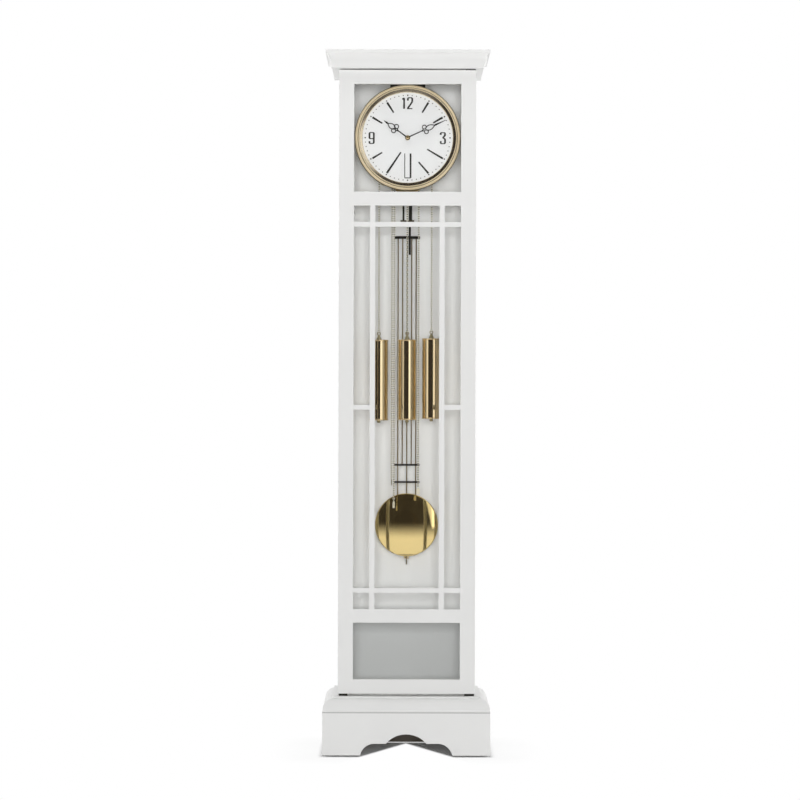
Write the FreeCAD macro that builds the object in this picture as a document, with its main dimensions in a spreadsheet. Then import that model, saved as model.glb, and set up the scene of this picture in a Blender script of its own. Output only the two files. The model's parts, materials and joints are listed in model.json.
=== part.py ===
import FreeCAD, Part
import math
import operator
import os
import Sketcher

# White longcase clock: full-height glazed door, round dial, gridiron pendulum and three chain-hung weights.
# Millimetres, +Z up, the front faces -Y, the origin is the middle of the footprint on the floor.

CASE_SIZES = {
    "case_width": 365, "case_depth": 240, "board": 18, "plinth_overhang": 40, "plinth_height": 114.2,
    "glide_height": 4, "glide_radius": 14, "block_side": 42, "base_moulding_height": 38.8,
    "base_fillet_overhang": 14.5, "base_fillet_height": 5, "base_bead_height": 5.6, "base_bead_overhang": 39,
    "crown_height": 47, "crown_foot_overhang": 19, "crown_top_overhang": 35.5, "crown_band_height": 8.5,
    "crown_foot_height": 17, "crown_foot_lean": 2.5, "crown_band_step": 3, "crown_panel": 6,
    "back_panel": 6, "back_inset": 3, "back_screw_radius": 1.8, "back_screw_head_radius": 4,
    "back_screw_head": 2, "back_screw_edge": 12,
    "arch_foot_half": 122, "arch_flat_half": 78, "arch_spring_half": 54, "arch_flat_height": 35,
    "arch_top_height": 60,
}
DOOR_SIZES = {
    "door_thickness": 20, "door_case_gap": 2, "door_bottom_gap": 6, "door_top_gap": 3, "stile_width": 40,
    "top_rail": 37, "dial_window": 287, "dial_rail": 37, "pendulum_window": 1074.8, "lower_rail": 36.2,
    "base_window": 151, "bottom_rail": 38, "rebate_width": 8, "rebate_depth": 10, "bar_width": 14,
    "cross_bar_height": 13, "bar_border": 50, "glass_thickness": 3, "glass_clearance": 1, "bead_width": 7,
    "hinge_edge": 6, "hinge_setback": 12, "hinge_leaf_length": 26, "hinge_leaf_width": 13,
    "hinge_leaf_end": 4, "hinge_pin_radius": 2, "hinge_play": 0.3, "catch_length": 23, "catch_width": 12,
    "catch_edge": 3, "catch_plate": 1.2, "catch_play": 0.5,
}
MOVEMENT_SIZES = {
    "seat_drop": 2, "seat_board": 18, "seat_front": 56, "seat_depth": 74, "chain_slot_half": 86,
    "chain_slot_depth": 26, "cheek_height": 30, "cheek_width": 22, "bolt_radius": 2.6, "bolt_spacing": 21,
    "bolt_setback": 22, "bolt_length": 74, "bolt_head_radius": 5, "bolt_head_height": 4, "nut_length": 16,
    "nut_width": 8, "nut_height": 6, "bolt_end": 2, "bolt_play": 0.1,
    "plate_thickness": 2, "plate_width": 176, "plate_height": 215, "plate_setback": 58, "plate_gap": 60,
    "plate_shoulder": 60, "plate_foot_rise": 10, "plate_foot_half": 25, "pillar_radius": 5, "pillar_edge": 7,
    "dial_foot_radius": 3, "dial_foot_place": 52, "dial_foot_edge": 17.5,
    "arbor_radius": 2, "running_play": 0.05, "mesh_play": 0.5,
    "wheel_thickness": 2, "tooth_depth": 2.2, "centre_wheel_radius": 26, "third_wheel_radius": 22,
    "pinion_radius": 4, "pinion_depth": 1.4, "pinion_length": 8, "escape_radius": 13, "escape_drop": 35.5,
    "centre_wheel_place": 50, "third_wheel_place": 34, "escape_wheel_place": 69, "cannon_radius": 6,
    "cannon_length": 6, "cannon_place": 2, "cannon_pipe_radius": 3.4, "hand_seat_radius": 2.6,
    "motion_wheel_radius": 18, "motion_pinion_radius": 5, "hour_pipe_radius": 5.2, "motion_wheel_place": 6,
    "hour_wheel_place": 11, "motion_pinion_length": 5, "stud_length": 13,
    "anchor_drop": 9.5, "anchor_reach": 19, "anchor_thickness": 4, "anchor_place": 68, "bridge_place": 86,
    "bridge_half": 30, "bridge_height": 30, "bridge_leg_radius": 3.5, "bridge_leg_edge": 4,
    "crutch_place": 78, "crutch_thickness": 3, "crutch_width": 4, "crutch_length": 132, "crutch_foot": 8,
    "crutch_play": 0.3,
    "chain_wheel_left": -58.6, "chain_wheel_centre": -17.3, "chain_wheel_right": 48.2, "chain_wheel_rise": 47,
    "chain_pitch_radius": 17.5, "chain_place": 32, "flange_width": 1.5, "great_wheel_radius": 24,
    "great_wheel_front_place": 12, "great_wheel_rear_place": 48,
}
DIAL_SIZES = {
    "dial_raise": 4.1, "dial_setback": 38, "dial_thickness": 1.5, "dial_inset": 2.3, "bezel_clearance": 0.4,
    "bezel_width": 20.1, "bezel_height": 11, "dial_hole_radius": 7, "strap_width": 94,
    "strap_thickness": 3, "strap_top": 158, "strap_bottom": 110,
    "shown_hour": 10, "shown_minutes": 10.9, "hand_thickness": 1, "hand_tip_clearance": 8,
    "hour_hand_shortfall": 34, "hour_hand_place": 4, "minute_hand_place": 8, "hand_stem": 3,
    "hour_hub_radius": 7, "minute_hub_radius": 6, "hand_tip_width": 6, "hour_loop_radius": 8,
    "minute_loop_radius": 6.5, "loop_wall": 1.7, "hand_nut_radius": 5, "hand_nut_height": 4,
}
PENDULUM_SIZES = {
    "pendulum_place": 157, "spring_width": 6, "spring_thickness": 0.5, "spring_length": 34,
    "suspension_play": 0.3, "suspension_post": 9, "leader_side": 7, "leader_width": 5.6,
    "leader_thickness": 2, "leader_length": 297, "leader_block": 12, "rod_radius": 1.75, "rod_spacing": 12.3,
    "rod_play": 0.05, "top_bar_drop": 249.6, "second_bar_rise": 30.5, "bar_gap": 46.8, "yoke_height": 5,
    "top_yoke_height": 7.2, "yoke_depth": 6, "yoke_length": 70, "bob_drop": 1033, "bob_radius": 86,
    "bob_depth": 15, "bob_rim": 4.4,
    "bob_play": 0.3, "bob_bar_rise": 34, "bob_sleeve_width": 10, "bob_sleeve_length": 80, "tip_length": 22,
    "rating_nut_radius": 7, "rating_nut_height": 6,
}
WEIGHT_SIZES = {
    "weight_radius": 26.2, "weight_length": 217, "weight_rim": 4, "weight_rim_step": 1.6,
    "weight_nut_radius": 5, "weight_nut_height": 7, "hook_rise": 22, "hook_wire": 1.8, "hook_ring_radius": 5,
    "weight_bottom_left": 883.3, "weight_bottom_centre": 884.2, "weight_bottom_right": 887.6,
    "chain_radius": 2.6, "chain_play": 0.4, "tag_width": 8.6, "tag_thickness": 2.4, "tag_length": 17,
    "tag_bottom_left": 714.8, "tag_bottom_centre": 654, "tag_bottom_right": 690.8,
}
CUT_SIZES = {"overrun": 1}
ALL_SIZES = {**CASE_SIZES, **DOOR_SIZES, **MOVEMENT_SIZES, **DIAL_SIZES, **PENDULUM_SIZES, **WEIGHT_SIZES,
             **CUT_SIZES}

SIGNS = {"+": operator.add, "-": operator.sub, "*": operator.mul, "/": operator.truediv}
NORMALS = {"XY_Plane": "z", "XZ_Plane": "y", "YZ_Plane": "x"}


class Size:
    """A number of the clock together with the sheet formula that it comes from."""

    def __init__(self, text, value):
        self.text = text
        self.value = value

    def __add__(self, other):
        return joined(self, "+", other)

    def __radd__(self, other):
        return joined(other, "+", self)

    def __sub__(self, other):
        return joined(self, "-", other)

    def __rsub__(self, other):
        return joined(other, "-", self)

    def __mul__(self, other):
        return joined(self, "*", other)

    def __rmul__(self, other):
        return joined(other, "*", self)

    def __truediv__(self, other):
        return joined(self, "/", other)

    def __neg__(self):
        return joined(0, "-", self)


class Sizes:
    """Each driving dimension of the sheet as a Size, by its name."""


WHEEL_TEETH = {"great_teeth": 72, "centre_teeth": 64, "third_teeth": 60, "escape_teeth": 30,
               "pinion_teeth": 8, "cannon_teeth": 14, "motion_teeth": 42, "motion_pinion_teeth": 14,
               "hour_teeth": 56}
# Where the flanks and the flat of one tooth lie, along its pitch
TOOTH_SHARES = (0.1, 0.3, 0.7, 0.9)


def as_size(value):
    return value if isinstance(value, Size) else Size(repr(value), value)


def joined(left, sign, right):
    left = as_size(left)
    right = as_size(right)
    return Size("(%s %s %s)" % (left.text, sign, right.text), SIGNS[sign](left.value, right.value))


def square_root(size):
    return Size("sqrt(%s)" % size.text, math.sqrt(size.value))


doc = FreeCAD.newDocument("longcase_clock")
sheet = doc.addObject("Spreadsheet::Sheet", "Sizes")
d = Sizes()
for row, (size_name, size_value) in enumerate(ALL_SIZES.items(), start=1):
    sheet.set("A%d" % row, size_name)
    sheet.set("B%d" % row, str(size_value))
    sheet.setAlias("B%d" % row, size_name)
    setattr(d, size_name, Size("Sizes." + size_name, size_value))
doc.recompute()
pieces = []


# Helpers that make bound document objects


def bind(item, prop, value):
    item.setExpression(prop, as_size(value).text)


def place(item, at, turn=None):
    """Moves an item to a point, and turns it by an angle about an axis."""
    for axis, value in zip("xyz", at):
        bind(item, "Placement.Base." + axis, value)
    if turn is not None:
        axis, angle = turn
        item.Placement = FreeCAD.Placement(item.Placement.Base, FreeCAD.Rotation(FreeCAD.Vector(*axis), 1))
        bind(item, "Placement.Rotation.Angle", angle)
    return item


def box(name, low, high):
    """A board given by its lowest and highest corners."""
    item = doc.addObject("Part::Box", name)
    for prop, start, end in zip(("Length", "Width", "Height"), low, high):
        bind(item, prop, end - start)
    return place(item, low)


def rod(name, radius, start, length, axis="z"):
    """A round bar from a point along +Z or along +Y."""
    item = doc.addObject("Part::Cylinder", name)
    bind(item, "Radius", radius)
    bind(item, "Height", length)
    return place(item, start, ((-1, 0, 0), 90) if axis == "y" else None)


def cut(name, base, tools):
    item = doc.addObject("Part::Cut", name)
    item.Base = base
    item.Tool = tools[0] if len(tools) == 1 else group(name + "_tools", tools)
    return item


def fuse(name, shapes):
    item = doc.addObject("Part::MultiFuse", name)
    item.Shapes = shapes
    return item


def common(name, base, tool):
    item = doc.addObject("Part::Common", name)
    item.Base = base
    item.Tool = tool
    return item


def group(name, shapes):
    """Separate solids that share one node."""
    item = doc.addObject("Part::Compound", name)
    item.Links = shapes
    return item


def piece(name, item):
    """Names a finished sub-part of the clock."""
    item.Label = name
    pieces.append(item)
    return item


def arc_through(first, middle, last):
    """A counter-clockwise arc, and whether it runs from first to last."""
    turn = (middle - first).cross(last - first).z
    forward = turn > 0
    return (Part.Arc(first, middle, last) if forward else Part.Arc(last, middle, first)), forward


def outline_sketch(body, name, plane, outline):
    """A closed outline whose points are all bound to the sheet.

    A point is (u, v). A point (u, v, u_mid, v_mid) is joined to the next one by an arc through the middle.
    """
    sketch = body.newObject("Sketcher::SketchObject", name)
    origin = [item for item in body.Origin.OriginFeatures if item.Role == plane][0]
    sketch.AttachmentSupport = [(origin, "")]
    sketch.MapMode = "FlatFace"
    spots = [FreeCAD.Vector(as_size(spot[0]).value, as_size(spot[1]).value, 0) for spot in outline]
    ends = []
    middles = []
    for index, spot in enumerate(outline):
        first = spots[index]
        last = spots[(index + 1) % len(spots)]
        if len(spot) == 2:
            edge = sketch.addGeometry(Part.LineSegment(first, last))
            ends.append((edge, 1, 2))
        else:
            middle = FreeCAD.Vector(as_size(spot[2]).value, as_size(spot[3]).value, 0)
            curve, forward = arc_through(first, middle, last)
            edge = sketch.addGeometry(curve)
            ends.append((edge, 1, 2) if forward else (edge, 2, 1))
            middles.append((edge, middle, spot[2], spot[3]))
    for index, (edge, start, end) in enumerate(ends):
        after, after_start, after_end = ends[(index + 1) % len(ends)]
        sketch.addConstraint(Sketcher.Constraint("Coincident", edge, end, after, after_start))
    for (edge, start, end), spot in zip(ends, outline):
        pin_point(sketch, edge, start, spot[0], spot[1])
    for edge, middle, across, up in middles:
        mark = sketch.addGeometry(Part.Point(middle), True)
        pin_point(sketch, mark, 1, across, up)
        sketch.addConstraint(Sketcher.Constraint("PointOnObject", mark, 1, edge))
    return sketch


def pin_point(sketch, edge, end, across, up):
    """Holds one point of a sketch at its two formulas, measured from the origin."""
    for kind, value in (("DistanceX", across), ("DistanceY", up)):
        value = as_size(value)
        index = sketch.addConstraint(Sketcher.Constraint(kind, -1, 1, edge, end, value.value))
        sketch.setExpression("Constraints[%d]" % index, value.text)


def prism(name, plane, outline, start, length):
    """An outline padded from start along the plane's normal: +Z, -Y or +X."""
    body = doc.addObject("PartDesign::Body", name)
    sketch = outline_sketch(body, name + "_outline", plane, outline)
    pad = body.newObject("PartDesign::Pad", name + "_pad")
    pad.Profile = sketch
    bind(pad, "Length", length)
    bind(body, "Placement.Base." + NORMALS[plane], start)
    return body


def turned(name, outline, at, axis="z"):
    """An outline of (radius, height) points turned about +Z, or about -Y when the axis is front."""
    body = doc.addObject("PartDesign::Body", name)
    sketch = outline_sketch(body, name + "_outline", "XZ_Plane", outline)
    spin = body.newObject("PartDesign::Revolution", name + "_spin")
    spin.Profile = sketch
    spin.ReferenceAxis = (sketch, ["V_Axis"])
    spin.Angle = 360
    return place(body, at, ((1, 0, 0), 90) if axis == "front" else None)


def toothed(name, teeth, radius, depth, thickness, at):
    """A wheel with plain teeth whose front face is at the point and whose axis is Y."""
    root = radius.value - depth.value
    whole = round(teeth)
    step = 2 * math.pi / whole
    spots = []
    for tooth in range(whole):
        for reach, share in zip((root, radius.value, radius.value, root), TOOTH_SHARES):
            angle = (tooth + share) * step
            spots.append(FreeCAD.Vector(reach * math.sin(angle), 0, reach * math.cos(angle)))
    face = Part.Face(Part.makePolygon(spots + spots[:1]))
    item = doc.addObject("Part::Feature", name)
    item.Shape = face.extrude(FreeCAD.Vector(0, thickness.value, 0))
    return place(item, at)


# Places shared by the pieces

half_case = d.case_width / 2
inner_half = half_case - d.board
back_y = (d.case_depth + d.plinth_overhang) / 2
door_front = back_y - d.case_depth
door_back = door_front + d.door_thickness
case_front = door_back + d.door_case_gap
plinth_half = half_case + d.plinth_overhang
plinth_front = door_front - d.plinth_overhang

plinth_top = d.glide_height + d.plinth_height
floor_top = plinth_top + d.base_moulding_height
door_bottom = floor_top + d.door_bottom_gap
base_window_low = door_bottom + d.bottom_rail
base_window_high = base_window_low + d.base_window
pendulum_window_low = base_window_high + d.lower_rail
pendulum_window_high = pendulum_window_low + d.pendulum_window
dial_window_low = pendulum_window_high + d.dial_rail
dial_window_high = dial_window_low + d.dial_window
door_top = dial_window_high + d.top_rail
case_top = door_top + d.door_top_gap
crown_top = case_top + d.crown_height

window_half = half_case - d.stile_width
rebate_half = window_half + d.rebate_width
lip_back = door_front + d.rebate_depth
dial_z = dial_window_low + d.dial_window / 2 + d.dial_raise
bezel_radius = window_half - d.bezel_clearance
bezel_inner = bezel_radius - d.bezel_width
dial_radius = bezel_radius - d.dial_inset
minute_hand_length = bezel_inner - d.hand_tip_clearance
hour_hand_length = minute_hand_length - d.hour_hand_shortfall
dial_front = door_front + d.dial_setback
dial_back = dial_front + d.dial_thickness
front_plate = door_front + d.plate_setback
front_plate_back = front_plate + d.plate_thickness
rear_plate = front_plate_back + d.plate_gap
rear_plate_back = rear_plate + d.plate_thickness
seat_top = dial_window_low - d.seat_drop
seat_low = seat_top - d.seat_board
seat_front = door_front + d.seat_front
seat_rear = seat_front + d.seat_depth
anchor_z = dial_z - d.anchor_drop
chain_y = front_plate + d.chain_place
chain_wheel_z = seat_top + d.chain_wheel_rise
pendulum_y = door_front + d.pendulum_place
yoke_y = pendulum_y + d.yoke_depth / 2
bob_z = anchor_z - d.bob_drop
bob_low = bob_z - d.bob_radius
zero = as_size(0)

# Plinth

ARCH_SIDE_SHARES = (0.72, 0.69)


def arch_side(sign):
    """The middle of the curve from a plinth foot up to the flat beside the arch."""
    across, up = ARCH_SIDE_SHARES
    run = d.arch_foot_half - d.arch_flat_half
    rise = d.arch_flat_height - d.glide_height
    return sign * (d.arch_flat_half + across * run), d.glide_height + up * rise


piece("plinth_front", prism("plinth_front", "XZ_Plane", [
    (-plinth_half, plinth_top),
    (-plinth_half, d.glide_height),
    (-d.arch_foot_half, d.glide_height) + arch_side(-1),
    (-d.arch_flat_half, d.arch_flat_height),
    (-d.arch_spring_half, d.arch_flat_height, zero, d.arch_top_height),
    (d.arch_spring_half, d.arch_flat_height),
    (d.arch_flat_half, d.arch_flat_height) + arch_side(1),
    (d.arch_foot_half, d.glide_height),
    (plinth_half, d.glide_height),
    (plinth_half, plinth_top),
], plinth_front + d.board, d.board))

piece("plinth_boards", group("plinth_boards", [
    box("plinth_left", (-plinth_half, plinth_front + d.board, d.glide_height),
        (d.board - plinth_half, back_y, plinth_top)),
    box("plinth_right", (plinth_half - d.board, plinth_front + d.board, d.glide_height),
        (plinth_half, back_y, plinth_top)),
    box("plinth_back", (d.board - plinth_half, back_y - d.board, d.glide_height),
        (plinth_half - d.board, back_y, plinth_top)),
]))

block_out = plinth_half - d.board
block_rows = {"front": plinth_front + d.board, "rear": back_y - d.board - d.block_side}
block_sides = {"left": -block_out, "right": block_out - d.block_side}
blocks = []
glides = []
for row_name, block_y in block_rows.items():
    for side_name, block_x in block_sides.items():
        mark = "_%s_%s" % (row_name, side_name)
        blocks.append(box("block" + mark, (block_x, block_y, d.glide_height),
                          (block_x + d.block_side, block_y + d.block_side, plinth_top)))
        middle = (block_x + d.block_side / 2, block_y + d.block_side / 2, zero)
        glides.append(rod("glide" + mark, d.glide_radius, middle, d.glide_height))
piece("corner_blocks", group("corner_blocks", blocks))
piece("floor_glides", group("floor_glides", glides))


# Mouldings


def moulding(name, profile):
    """Three lengths mitred at the front corners. The profile's points are (overhang, height)."""

    def laid(start, sign):
        """The profile with its overhang measured outwards from start."""
        return [tuple(start + sign * value if index % 2 == 0 else value for index, value in enumerate(spot))
                for spot in profile]

    over = d.plinth_overhang
    low = profile[0][1]
    high = profile[-1][1] - low
    long_way = back_y - door_front + over
    front_bar = prism(name + "_front_bar", "YZ_Plane", laid(door_front, -1), -plinth_half, 2 * plinth_half)
    front_room = prism(name + "_front_room", "XY_Plane", [
        (-half_case, door_front), (-half_case - over, door_front - over),
        (half_case + over, door_front - over), (half_case, door_front)], low, high)
    lengths = [common(name + "_front", front_bar, front_room)]
    for side_name, sign in (("left", -1), ("right", 1)):
        bar = prism("%s_%s_bar" % (name, side_name), "XZ_Plane", laid(sign * half_case, sign), back_y,
                    long_way)
        room = prism("%s_%s_room" % (name, side_name), "XY_Plane", [
            (sign * half_case, door_front), (sign * (half_case + over), door_front - over),
            (sign * (half_case + over), back_y), (sign * half_case, back_y)], low, high)
        lengths.append(common("%s_%s" % (name, side_name), bar, room))
    return piece(name, group(name, lengths))


ROUND_SHARE = 0.707
round_high = floor_top - d.base_fillet_height
bead_high = plinth_top + d.base_bead_height
round_run = d.base_bead_overhang - d.base_fillet_overhang
round_rise = round_high - bead_high
moulding("base_moulding", [
    (zero, plinth_top),
    (d.base_bead_overhang, plinth_top, d.plinth_overhang, (plinth_top + bead_high) / 2),
    (d.base_bead_overhang, bead_high, d.base_fillet_overhang + ROUND_SHARE * round_run,
     bead_high + ROUND_SHARE * round_rise),
    (d.base_fillet_overhang, round_high),
    (d.base_fillet_overhang, floor_top),
    (zero, floor_top),
])

CROWN_COVE_SHARES = (0.35, 0.6)
foot_high = case_top + d.crown_foot_height
foot_over = d.crown_foot_overhang + d.crown_foot_lean
band_low = crown_top - d.crown_band_height
band_over = d.crown_top_overhang - d.crown_band_step
moulding("crown_moulding", [
    (zero, case_top),
    (d.crown_foot_overhang, case_top),
    (foot_over, foot_high, foot_over + CROWN_COVE_SHARES[0] * (band_over - foot_over),
     foot_high + CROWN_COVE_SHARES[1] * (band_low - foot_high)),
    (band_over, band_low),
    (d.crown_top_overhang, band_low),
    (d.crown_top_overhang, crown_top),
    (zero, crown_top),
])

# Case

piece("case_floor", box("case_floor", (-half_case, door_front, floor_top - d.board),
                        (half_case, back_y, floor_top)))
piece("side_left", box("side_left", (-half_case, case_front, floor_top), (-inner_half, back_y, case_top)))
piece("side_right", box("side_right", (inner_half, case_front, floor_top), (half_case, back_y, case_top)))

BACK_SCREW_SHARES = (0.03, 0.265, 0.5, 0.735, 0.97)
panel_rear = back_y - d.back_inset
panel_front = panel_rear - d.back_panel
screw_holes = []
screws = []
for column, screw_x in enumerate((d.back_screw_edge - inner_half, inner_half - d.back_screw_edge)):
    for row, share in enumerate(BACK_SCREW_SHARES):
        mark = "_%d_%d" % (column, row)
        spot = (screw_x, panel_front, floor_top + share * (case_top - floor_top))
        screw_holes.append(rod("screw_hole" + mark, d.back_screw_radius + d.bolt_play, spot,
                               d.back_panel, "y"))
        shank = rod("screw_shank" + mark, d.back_screw_radius, spot, d.back_panel, "y")
        head = rod("screw_head" + mark, d.back_screw_head_radius, (spot[0], panel_rear, spot[2]),
                   d.back_screw_head, "y")
        screws.append(fuse("screw" + mark, [shank, head]))
piece("back_panel", cut("back_panel", box("back_blank", (-inner_half, panel_front, floor_top),
                                          (inner_half, panel_rear, case_top)), screw_holes))
piece("back_screws", group("back_screws", screws))

piece("top_boards", group("top_boards", [
    box("case_top", (-half_case, door_front, case_top), (half_case, back_y, case_top + d.board)),
    box("crown_back", (-half_case, back_y - d.board, case_top + d.board),
        (half_case, back_y, crown_top - d.crown_panel)),
    box("crown_panel", (-half_case, door_front, crown_top - d.crown_panel), (half_case, back_y, crown_top)),
]))

# Door

for side_name, sign in (("left", -1), ("right", 1)):
    piece("stile_" + side_name, prism("stile_" + side_name, "XY_Plane", [
        (sign * half_case, door_front), (sign * window_half, door_front), (sign * window_half, lip_back),
        (sign * rebate_half, lip_back), (sign * rebate_half, door_back), (sign * half_case, door_back),
    ], door_bottom, door_top - door_bottom))


def rail(name, low, high, low_rebate, high_rebate):
    """A rail between the stiles, stepped at the back for the panes beside it."""
    return piece(name, fuse(name, [
        box(name + "_lip", (-window_half, door_front, low), (window_half, lip_back, high)),
        box(name + "_step", (-rebate_half, lip_back, low + low_rebate),
            (rebate_half, door_back, high - high_rebate)),
    ]))


rail("top_rail", dial_window_high, door_top, d.rebate_width, zero)
rail("dial_rail", pendulum_window_high, dial_window_low, d.rebate_width, d.rebate_width)
rail("lower_rail", base_window_high, pendulum_window_low, d.rebate_width, d.rebate_width)
rail("bottom_rail", door_bottom, base_window_low, zero, d.rebate_width)

upright = window_half - d.bar_border
upright_in = upright - d.bar_width / 2
upright_out = upright + d.bar_width / 2


def cross_bar(name, middle, left, right):
    return box(name, (left, door_front, middle - d.cross_bar_height / 2),
               (right, lip_back, middle + d.cross_bar_height / 2))


upper_bar = pendulum_window_high - d.bar_border
lower_bar = pendulum_window_low + d.bar_border
middle_bar = pendulum_window_low + d.pendulum_window / 2
bars = []
for side_name, sign in (("left", -1), ("right", 1)):
    near = upright_out if sign > 0 else -window_half
    far = window_half if sign > 0 else -upright_out
    stand = upright_in if sign > 0 else -upright_out
    bars.append(box("upright_" + side_name, (stand, door_front, pendulum_window_low),
                    (stand + d.bar_width, lip_back, pendulum_window_high)))
    for level_name, level in (("upper", upper_bar), ("middle", middle_bar), ("lower", lower_bar)):
        bars.append(cross_bar("%s_bar_%s" % (level_name, side_name), level, near, far))
bars.append(cross_bar("upper_bar_centre", upper_bar, -upright_in, upright_in))
bars.append(cross_bar("lower_bar_centre", lower_bar, -upright_in, upright_in))
piece("glazing_bars", group("glazing_bars", bars))

windows = {"dial": (dial_window_low, dial_window_high),
           "pendulum": (pendulum_window_low, pendulum_window_high),
           "base": (base_window_low, base_window_high)}
glass_back = lip_back + d.glass_thickness
glass_edge = d.rebate_width - d.glass_clearance
panes = []
beads = []
for window_name, (low, high) in windows.items():
    panes.append(box(window_name + "_pane", (-window_half - glass_edge, lip_back, low - glass_edge),
                     (window_half + glass_edge, glass_back, high + glass_edge)))
    bead_low = low - d.rebate_width
    bead_high_end = high + d.rebate_width
    bead_in = rebate_half - d.bead_width
    for mark, left, right, start, end in (
            ("left", -rebate_half, -bead_in, bead_low, bead_high_end),
            ("right", bead_in, rebate_half, bead_low, bead_high_end),
            ("low", -bead_in, bead_in, bead_low, bead_low + d.bead_width),
            ("high", -bead_in, bead_in, bead_high_end - d.bead_width, bead_high_end)):
        beads.append(box("%s_bead_%s" % (window_name, mark), (left, glass_back, start),
                         (right, door_back, end)))
piece("door_glass", group("door_glass", panes))
piece("glass_beads", group("glass_beads", beads))

hinge_x = half_case - d.hinge_edge
hinge_y = door_back - d.hinge_setback


def hinge_leaf(name, low, thickness):
    """A flat leaf round the hinge axis."""
    right = hinge_x + d.hinge_leaf_end
    half_width = d.hinge_leaf_width / 2
    return box(name, (right - d.hinge_leaf_length, hinge_y - half_width, low),
               (right, hinge_y + half_width, low + thickness))


door_leaves = []
case_leaves = []
for end_name, gap, door_end, up in (("top", d.door_top_gap, door_top, 1),
                                    ("bottom", d.door_bottom_gap, door_bottom, -1)):
    leaf = (gap - d.hinge_play) / 2
    door_low = door_end if up > 0 else door_end - leaf
    case_low = door_end + gap - leaf if up > 0 else door_end - gap
    pin_low = door_end if up > 0 else door_end - gap
    pin_start = (hinge_x, hinge_y, pin_low)
    door_leaves.append(cut("door_leaf_" + end_name, hinge_leaf("door_blank_" + end_name, door_low, leaf), [
        rod("pin_hole_" + end_name, d.hinge_pin_radius + d.running_play, pin_start, gap)]))
    case_leaves.append(fuse("case_leaf_" + end_name, [
        hinge_leaf("case_blank_" + end_name, case_low, leaf),
        rod("pin_" + end_name, d.hinge_pin_radius, pin_start, gap)]))

catch_x = d.catch_edge - half_case
catch_low_y = hinge_y - d.catch_width / 2
catch_high_y = hinge_y + d.catch_width / 2
plate_low = door_bottom - d.catch_plate
catch_plate = box("catch_plate", (catch_x, catch_low_y, plate_low),
                  (catch_x + d.catch_length, catch_high_y, door_bottom))
catch_magnet = box("catch_magnet", (catch_x, catch_low_y, floor_top),
                   (catch_x + d.catch_length, catch_high_y, plate_low - d.catch_play))
piece("door_fittings", group("door_fittings", door_leaves + [catch_plate]))
piece("case_fittings", group("case_fittings", case_leaves + [catch_magnet]))

# Movement frame

bolt_y = chain_y + d.bolt_setback
bolt_low = seat_top - d.bolt_length
seat_tools = [box("chain_slot", (-d.chain_slot_half, chain_y - d.chain_slot_depth / 2, seat_low - d.overrun),
                  (d.chain_slot_half, chain_y + d.chain_slot_depth / 2, seat_top + d.overrun))]
bolts = []
for side_name, sign in (("left", -1), ("right", 1)):
    bolt_x = sign * d.bolt_spacing / 2
    bolt_start = (bolt_x, bolt_y, bolt_low)
    seat_tools.append(rod("bolt_hole_" + side_name, d.bolt_radius + d.bolt_play,
                          (bolt_x, bolt_y, seat_low - d.overrun), d.seat_board + 2 * d.overrun))
    bolts.append(fuse("bolt_" + side_name, [
        rod("bolt_shank_" + side_name, d.bolt_radius, bolt_start, d.bolt_length),
        rod("bolt_head_" + side_name, d.bolt_head_radius, (bolt_x, bolt_y, seat_top), d.bolt_head_height)]))
    nut_low = bolt_low + d.bolt_end
    nut_blank = box("nut_blank_" + side_name, (bolt_x - d.nut_length / 2, bolt_y - d.nut_width / 2, nut_low),
                    (bolt_x + d.nut_length / 2, bolt_y + d.nut_width / 2, nut_low + d.nut_height))
    bolts.append(cut("bolt_nut_" + side_name, nut_blank, [
        rod("nut_hole_" + side_name, d.bolt_radius + d.bolt_play, bolt_start, d.bolt_length)]))
seat_blank = box("seat_blank", (-inner_half, seat_front, seat_low), (inner_half, seat_rear, seat_top))
piece("seat_board", group("seat_board", [
    cut("seat_slotted", seat_blank, seat_tools),
    box("cheek_left", (-inner_half, seat_front, seat_low - d.cheek_height),
        (d.cheek_width - inner_half, seat_rear, seat_low)),
    box("cheek_right", (inner_half - d.cheek_width, seat_front, seat_low - d.cheek_height),
        (inner_half, seat_rear, seat_low)),
]))
piece("seat_bolts", group("seat_bolts", bolts))

# Places of the arbors: the third arbor stands where its pinion meets the centre wheel and its wheel meets
# the escape pinion

centre_reach = d.centre_wheel_radius + d.pinion_radius + d.mesh_play
escape_reach = d.third_wheel_radius + d.pinion_radius + d.mesh_play
third_drop = (d.escape_drop * d.escape_drop + centre_reach * centre_reach
              - escape_reach * escape_reach) / (2 * d.escape_drop)
third_x = square_root(centre_reach * centre_reach - third_drop * third_drop)
third_z = dial_z - third_drop
escape_z = dial_z - d.escape_drop
motion_x = d.cannon_radius + d.motion_wheel_radius + d.mesh_play
hour_wheel_radius = d.cannon_radius + d.motion_wheel_radius - d.motion_pinion_radius
chain_wheels = {"left": (d.chain_wheel_left, -1), "centre": (d.chain_wheel_centre, 1),
                "right": (d.chain_wheel_right, 1)}
frame_depth = rear_plate_back - front_plate


def arbor_holes(name, spots, start):
    """Running holes for the arbors through one plate."""
    return [rod("%s_hole_%d" % (name, index), d.arbor_radius + d.running_play,
                (spot[0], start - d.overrun, spot[1]), d.plate_thickness + 2 * d.overrun, "y")
            for index, spot in enumerate(spots)]


through_spots = [(zero, dial_z), (third_x, third_z), (zero, escape_z)]
through_spots += [(wheel_x, chain_wheel_z) for wheel_x, side in chain_wheels.values()]
plate_half = d.plate_width / 2
plate_high = seat_top + d.plate_height
plate_shoulder = seat_top + d.plate_shoulder


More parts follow.
